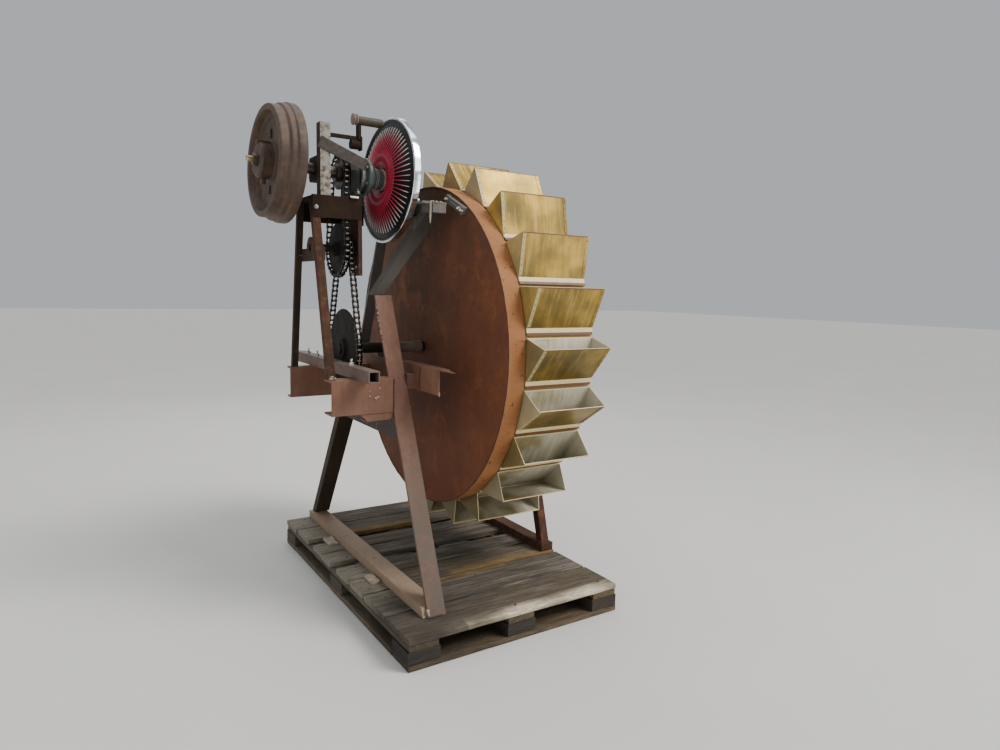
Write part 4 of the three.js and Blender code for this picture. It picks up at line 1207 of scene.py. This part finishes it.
def makeSpokedWheel(settings):
    segments = settings["segments"]
    turnedPiece("spokedWheelDish", topProfile([
        (19.3, -172), (50, -172), (57, -188), (106, -189), (112, -189.5), (186, -168), (206, -164),
        (206, -166), (209, -168), (212.6, -168), (212.6, -142), (206, -142), (206, -160), (184, -162),
        (108, -183), (62, -183), (60, -164), (19.3, -164)]),
        topPlace, segments, "blackEnamel", 1.0, "top_set", ["spoked_wheel"])
    turnedPiece("spokedWheelCentre", topProfile([
        (38, -174), (40, -178), (52, -188), (58, -195), (63, -197), (66, -195), (76, -194.5), (79, -196),
        (90, -196), (94, -194), (104, -192), (107, -190), (107, -184), (62, -184), (38, -171)]),
        topPlace, segments, "redEnamel", 0.8, "top_set")
    fin = bmesh.new()
    reach = fin.verts.layers.float.new("reach")
    rows = []
    for radius, front, back, thick in settings["finSections"]:
        row = []
        for x, y in ((front, -thick / 3), (front, thick / 3), (back, thick / 2), (back, -thick / 2)):
            vert = fin.verts.new(Vector((x - upperPlane, y, radius)) / 1000)
            vert[reach] = (radius - settings["finFoot"]) / (settings["finTip"] - settings["finFoot"])
            row.append(vert)
        rows.append(row)
    skinInto(fin, rows)
    count = settings["fins"]
    spots = [(topPoint, aboutX(topPlace, 2 * math.pi * i / count)) for i in range(count)]
    scatter("spokedWheelFins", fromBmesh("finPattern", fin, "fins"), spots, "fins", "top_set")
    turnedPiece("chromeRimBand", topProfile([
        (213, -170), (219, -170), (220.5, -168), (220.5, -146), (219, -144), (213, -144)]),
        topPlace, 192, "chrome", 0.8, "top_set", ["chrome_rim"])


makeFlywheel(topSettings)
makeHub(topSettings)
makeSpokedWheel(topSettings)
print("stage: top set made")


# Bolts, by the width across flats; each place is in millimetres, with the way it faces
outLeft, outFront, outUp = (-1, 0, 0), (0, -1, 0), (0, 0, 1)
boltSettings = {
    "frameBolts": {"width": 17, "finish": "bolt", "stub": 0.9, "spots": [
        (-457, -252, -75.7, outUp), (-456, 151, -75.7, outUp),
        (-140, -60, -22.5, outUp), (-140, 60, -22.5, outUp), (410, -60, -22.5, outUp), (410, 60, -22.5, outUp),
        (-306, -99, 537.5, outUp), (-306, 38, 537.5, outUp), (-87, 70, 529.3, outUp),
        (-298, 64, 490, outLeft), (-298, -72, 290, outLeft),
        (-444.7, -128, 330, outLeft), (-444.7, 84, 330, outLeft)]},
    "barBolt": {"width": 9.5, "finish": "brightBolt", "stub": 0.6, "spots": [(-459, -126, 482, outFront)]},
    "tubeStuds": {"width": 14, "finish": "brightBolt", "stub": 1.5, "spots": [
        (-370, 255, -37.7, outUp), (-370, 150, -37.7, outUp), (-370, -206, -37.7, outUp)]},
    "footStud": {"width": 16, "finish": "brightBolt", "stub": 1.9, "spots": [(-88, -116, 529.3, outUp)]},
}


def makeBolts(settings):
    for name, kind in settings.items():
        spots = [(at(x, y, z), facing(way, i * 0.7)) for i, (x, y, z, way) in enumerate(kind["spots"])]
        scatter(name, boltPattern(name + "Pattern", kind["width"], kind["stub"]), spots, kind["finish"], "stand",
                (), 0.08, 4)


makeBolts(boltSettings)

# Weld beads: overlapping ripples along each seam, and a thin bead round the disc's rim
weldSettings = {
    "ripple": 3.4, "radius": 3.0, "seed": 21,
    "seams": [
        ((-261.4, -306, -78), (-261.4, -306, -186)), ((-261, -574.5, -801), (-212, -574.5, -801)),
        ((-161.4, -296, -122), (-161.4, -297, -40)), ((-198.6, -272, -70), (-198.6, -228, -70)),
        ((-198.6, -272, -120), (-198.6, -272, -70)), ((-112.4, -250, 479), (-112.4, -120, 479)),
        ((-257, -136, 196.5), (-228, -136, 196.5)), ((384, -290, -765), (384, -250, -765)),
        ((392, -70, -84), (392, 70, -84))],
    # pale spatter and paint chips, as ranges of x, y and z with a count; both y at 0 put them on the leg's front
    "flecks": [
        (-262, -260.6, 0, 0, 20, 180, 20), (-263, -256, 0, 0, -802, -778, 22), (-350, -306, -307, -306, -142, -98, 6),
        (-470, -446, -270, -263, -76, -71, 16), (-122, -70, -286.5, -284, 511, 515, 18)],
    "legFoot": (-574, -803.4), "legLean": 0.43,
    "rim": {"radius": 598.6, "steps": 180, "waves": 57},
}


def makeWelds(settings):
    rng = random.Random(settings["seed"])

    def anyTurn():
        return tuple(rng.uniform(0, 6) for axis in range(3))

    beads, flecks = [], []
    for start, end in settings["seams"]:
        a, b = Vector(start), Vector(end)
        count = int((b - a).length / settings["ripple"])
        for k in range(count):
            p = a.lerp(b, (k + 0.5) / count) + Vector([rng.uniform(-0.5, 0.5) for i in range(3)])
            beads.append((at(*p), anyTurn()))
    legY, legZ = settings["legFoot"]
    for x0, x1, y0, y1, z0, z1, count in settings["flecks"]:
        for k in range(count):
            x, y, z = rng.uniform(x0, x1), rng.uniform(y0, y1), rng.uniform(z0, z1)
            if y0 == y1 == 0:
                y = legY + settings["legLean"] * (z - legZ) + rng.uniform(-1, 5)
            flecks.append((at(x, y, z), anyTurn()))
    for name, spots, finish, sizeChange, seed in (
            ("weldBeads", beads, "weld", 0.2, 6), ("weldSpatter", flecks, "spatter", 0.5, 9)):
        ripple = bmesh.new()
        bmesh.ops.create_icosphere(ripple, subdivisions=1, radius=settings["radius"] / 1000)
        scatter(name, fromBmesh("ripplePattern", ripple, "weld"), spots, finish, "stand", (),
                sizeChange, seed)
    rim = settings["rim"]
    points, radii = [], []
    for i in range(rim["steps"]):
        a = 2 * math.pi * i / rim["steps"]
        radius = rim["radius"] + 0.7 * math.sin(a * rim["waves"])
        points.append(at(-0.4, radius * math.cos(a), radius * math.sin(a)))
        radii.append(0.0021 + 0.0009 * noise.noise(Vector((i * 0.9, 0, 0))))
    seam = bmesh.new()
    rodInto(seam, points, radii, 6, closed=True)
    settle(fromBmesh("rimWeld", seam, "weld"), "water_wheel")


makeWelds(weldSettings)

# Small fittings: the catch on the disc, the cleat and torn flange of the platform, drips, cylinder and rod
fittingSettings = {
    "catchSlope": 23.8,
    "catch": [((-19, -330, 500), (0.2, -196, 526), 1.6), ((-23, -322, 474), (0.2, -312, 500), 1.0),
              ((-22, -214, 522), (0.2, -205, 552), 1.0), ((-24, -300, 506), (-18, -236, 514), 1.0)],
    "catchBolts": [(-318, 488), (-300, 496), (-212, 536)],
    "cleat": [(-378, -190.2), (-262, -190.2), (-262, -213), (-352, -216)],
    "cleatFoot": ((-360, -299, -215), (-262, -262, -210)),
    # points down each drip, with its radius in metres
    "drips": [[(-122, -286, 514, 0.0042), (-121.5, -286.5, 490, 0.003), (-122.5, -286, 462, 0.0036),
               (-121.5, -285, 441, 0.0016)],
              [(-158, -430, -112, 0.003), (-157, -431, -120, 0.0034), (-157, -431, -128, 0.001)]],
    "torn": [(-160.5, -429.5), (-119, -429.5), (-124, -441), (-131, -446), (-134, -461), (-141, -470),
             (-144, -492), (-149, -505), (-151, -526), (-157, -508), (-160.5, -480)],
    "cylinder": (0, -97, 783), "collar": (0, -97, 785),
    "rod": ((-343, -129, 522.5), (-315, -130, 521.5)),
}


def makeFittings(settings):
    catch = bmesh.new()
    slope = Euler((math.radians(settings["catchSlope"]), 0, 0))
    for low, high, soften in settings["catch"]:
        blockInto(catch, low, high, soften, slope)
    settle(fromBmesh("discCatch", catch, "headSteel"), "water_wheel")
    spots = [(at(-19, y, z), facing(outLeft, y)) for y, z in settings["catchBolts"]]
    scatter("catchBolts", boltPattern("catchBoltPattern", 11, 0.7), spots, "brightBolt", "water_wheel")

    cleat, drip, torn, rod = (bmesh.new() for piece in range(4))
    prismInto(cleat, [at(x, -304, z) for x, z in settings["cleat"]], (0, 5, 0))
    blockInto(cleat, *settings["cleatFoot"])
    for points in settings["drips"]:
        rodInto(drip, [at(x, y, z) for x, y, z, radius in points], [point[3] for point in points], 8)
    prismInto(torn, [at(x, y, -41.2) for x, y in settings["torn"]], (0, 0, 3))
    rodInto(rod, [at(*point) for point in settings["rod"]], 0.0045, 12)
    settle(fromBmesh("platformCleat", cleat, "primer"), "stand")
    settle(fromBmesh("weldDrips", drip, "spatter"), "stand")
    settle(fromBmesh("tornFlange", torn, "primer"), "stand")
    turnedPiece("topTube", [
        (0.01, -306), (13.6, -306), (15, -303), (15, -222), (13, -219), (13, -214), (11, -212), (0.01, -212)],
        Matrix.Translation(at(*settings["cylinder"])), 48, "olive", 0.8, "stand",
        ["top_cylinder"])
    turnedPiece("topTubeCollar", [
        (0.01, -324), (13, -324), (19, -322.5), (20, -320), (19, -317.5), (14.5, -316.5), (14.5, -312.5),
        (18.5, -311.5), (19.5, -309), (18.5, -306.5), (15.5, -305), (0.01, -305)],
        Matrix.Translation(at(*settings["collar"])), 40, "pinkPaint", 0.6, "stand")
    settle(fromBmesh("brightRod", rod, "brightBolt"), "stand")


makeFittings(fittingSettings)
print("stage: fittings made")


# Pale floor, soft light from the sky, and a key from the front right as in the photograph
studioSettings = {
    "floor": 30.0, "floorDrop": 0.0004, "world": "#e2e7ec", "worldStrength": 0.62,
    "sun": {"energy": 2.6, "angle": 24, "color": (1.0, 0.975, 0.94), "from": (0.62, -0.62, 0.95)},
    "aim": (0, 0, 0.8),
    # name, place, size in metres and power
    "lights": [("keyLight", (2.4, -3.4, 3.8), 2.6, 60), ("skyLight", (-0.2, 0.4, 4.8), 3.4, 70),
               ("rimLight", (0.8, 3.8, 2.8), 2.2, 30), ("fillLight", (2.8, -3.0, 1.0), 2.2, 42),
               ("leftLight", (-3.6, -1.8, 1.3), 3.0, 38)],
}


def makeStudio(settings):
    mesh = bpy.data.meshes.new("floor")
    wide, low = settings["floor"], -settings["floorDrop"]
    mesh.from_pydata([(-wide, -wide, low), (wide, -wide, low), (wide, wide, low), (-wide, wide, low)], [],
                     [(0, 1, 2, 3)])
    mesh.materials.append(finishes["floor"])
    link(bpy.data.objects.new("floor", mesh))
    world = bpy.data.worlds.new("paleSky")
    bpy.context.scene.world = world
    world.use_nodes = True
    feed(world.node_tree.nodes["Background"], {"Color": settings["world"], "Strength": settings["worldStrength"]})
    sun = bpy.data.lights.new("brightSky", "SUN")
    sun.energy = settings["sun"]["energy"]
    sun.angle = math.radians(settings["sun"]["angle"])
    sun.color = settings["sun"]["color"]
    holder = link(bpy.data.objects.new("brightSky", sun))
    holder.rotation_euler = Vector(settings["sun"]["from"]).to_track_quat("Z", "Y").to_euler()
    for name, place, size, power in settings["lights"]:
        lamp = bpy.data.lights.new(name, "AREA")
        lamp.shape = "SQUARE"
        lamp.size = size
        lamp.energy = power
        holder = link(bpy.data.objects.new(name, lamp))
        holder.location = place
        aim = Vector(settings["aim"]) - Vector(place)
        holder.rotation_euler = aim.to_track_quat("-Z", "Y").to_euler()


makeStudio(studioSettings)
print("stage: studio made")
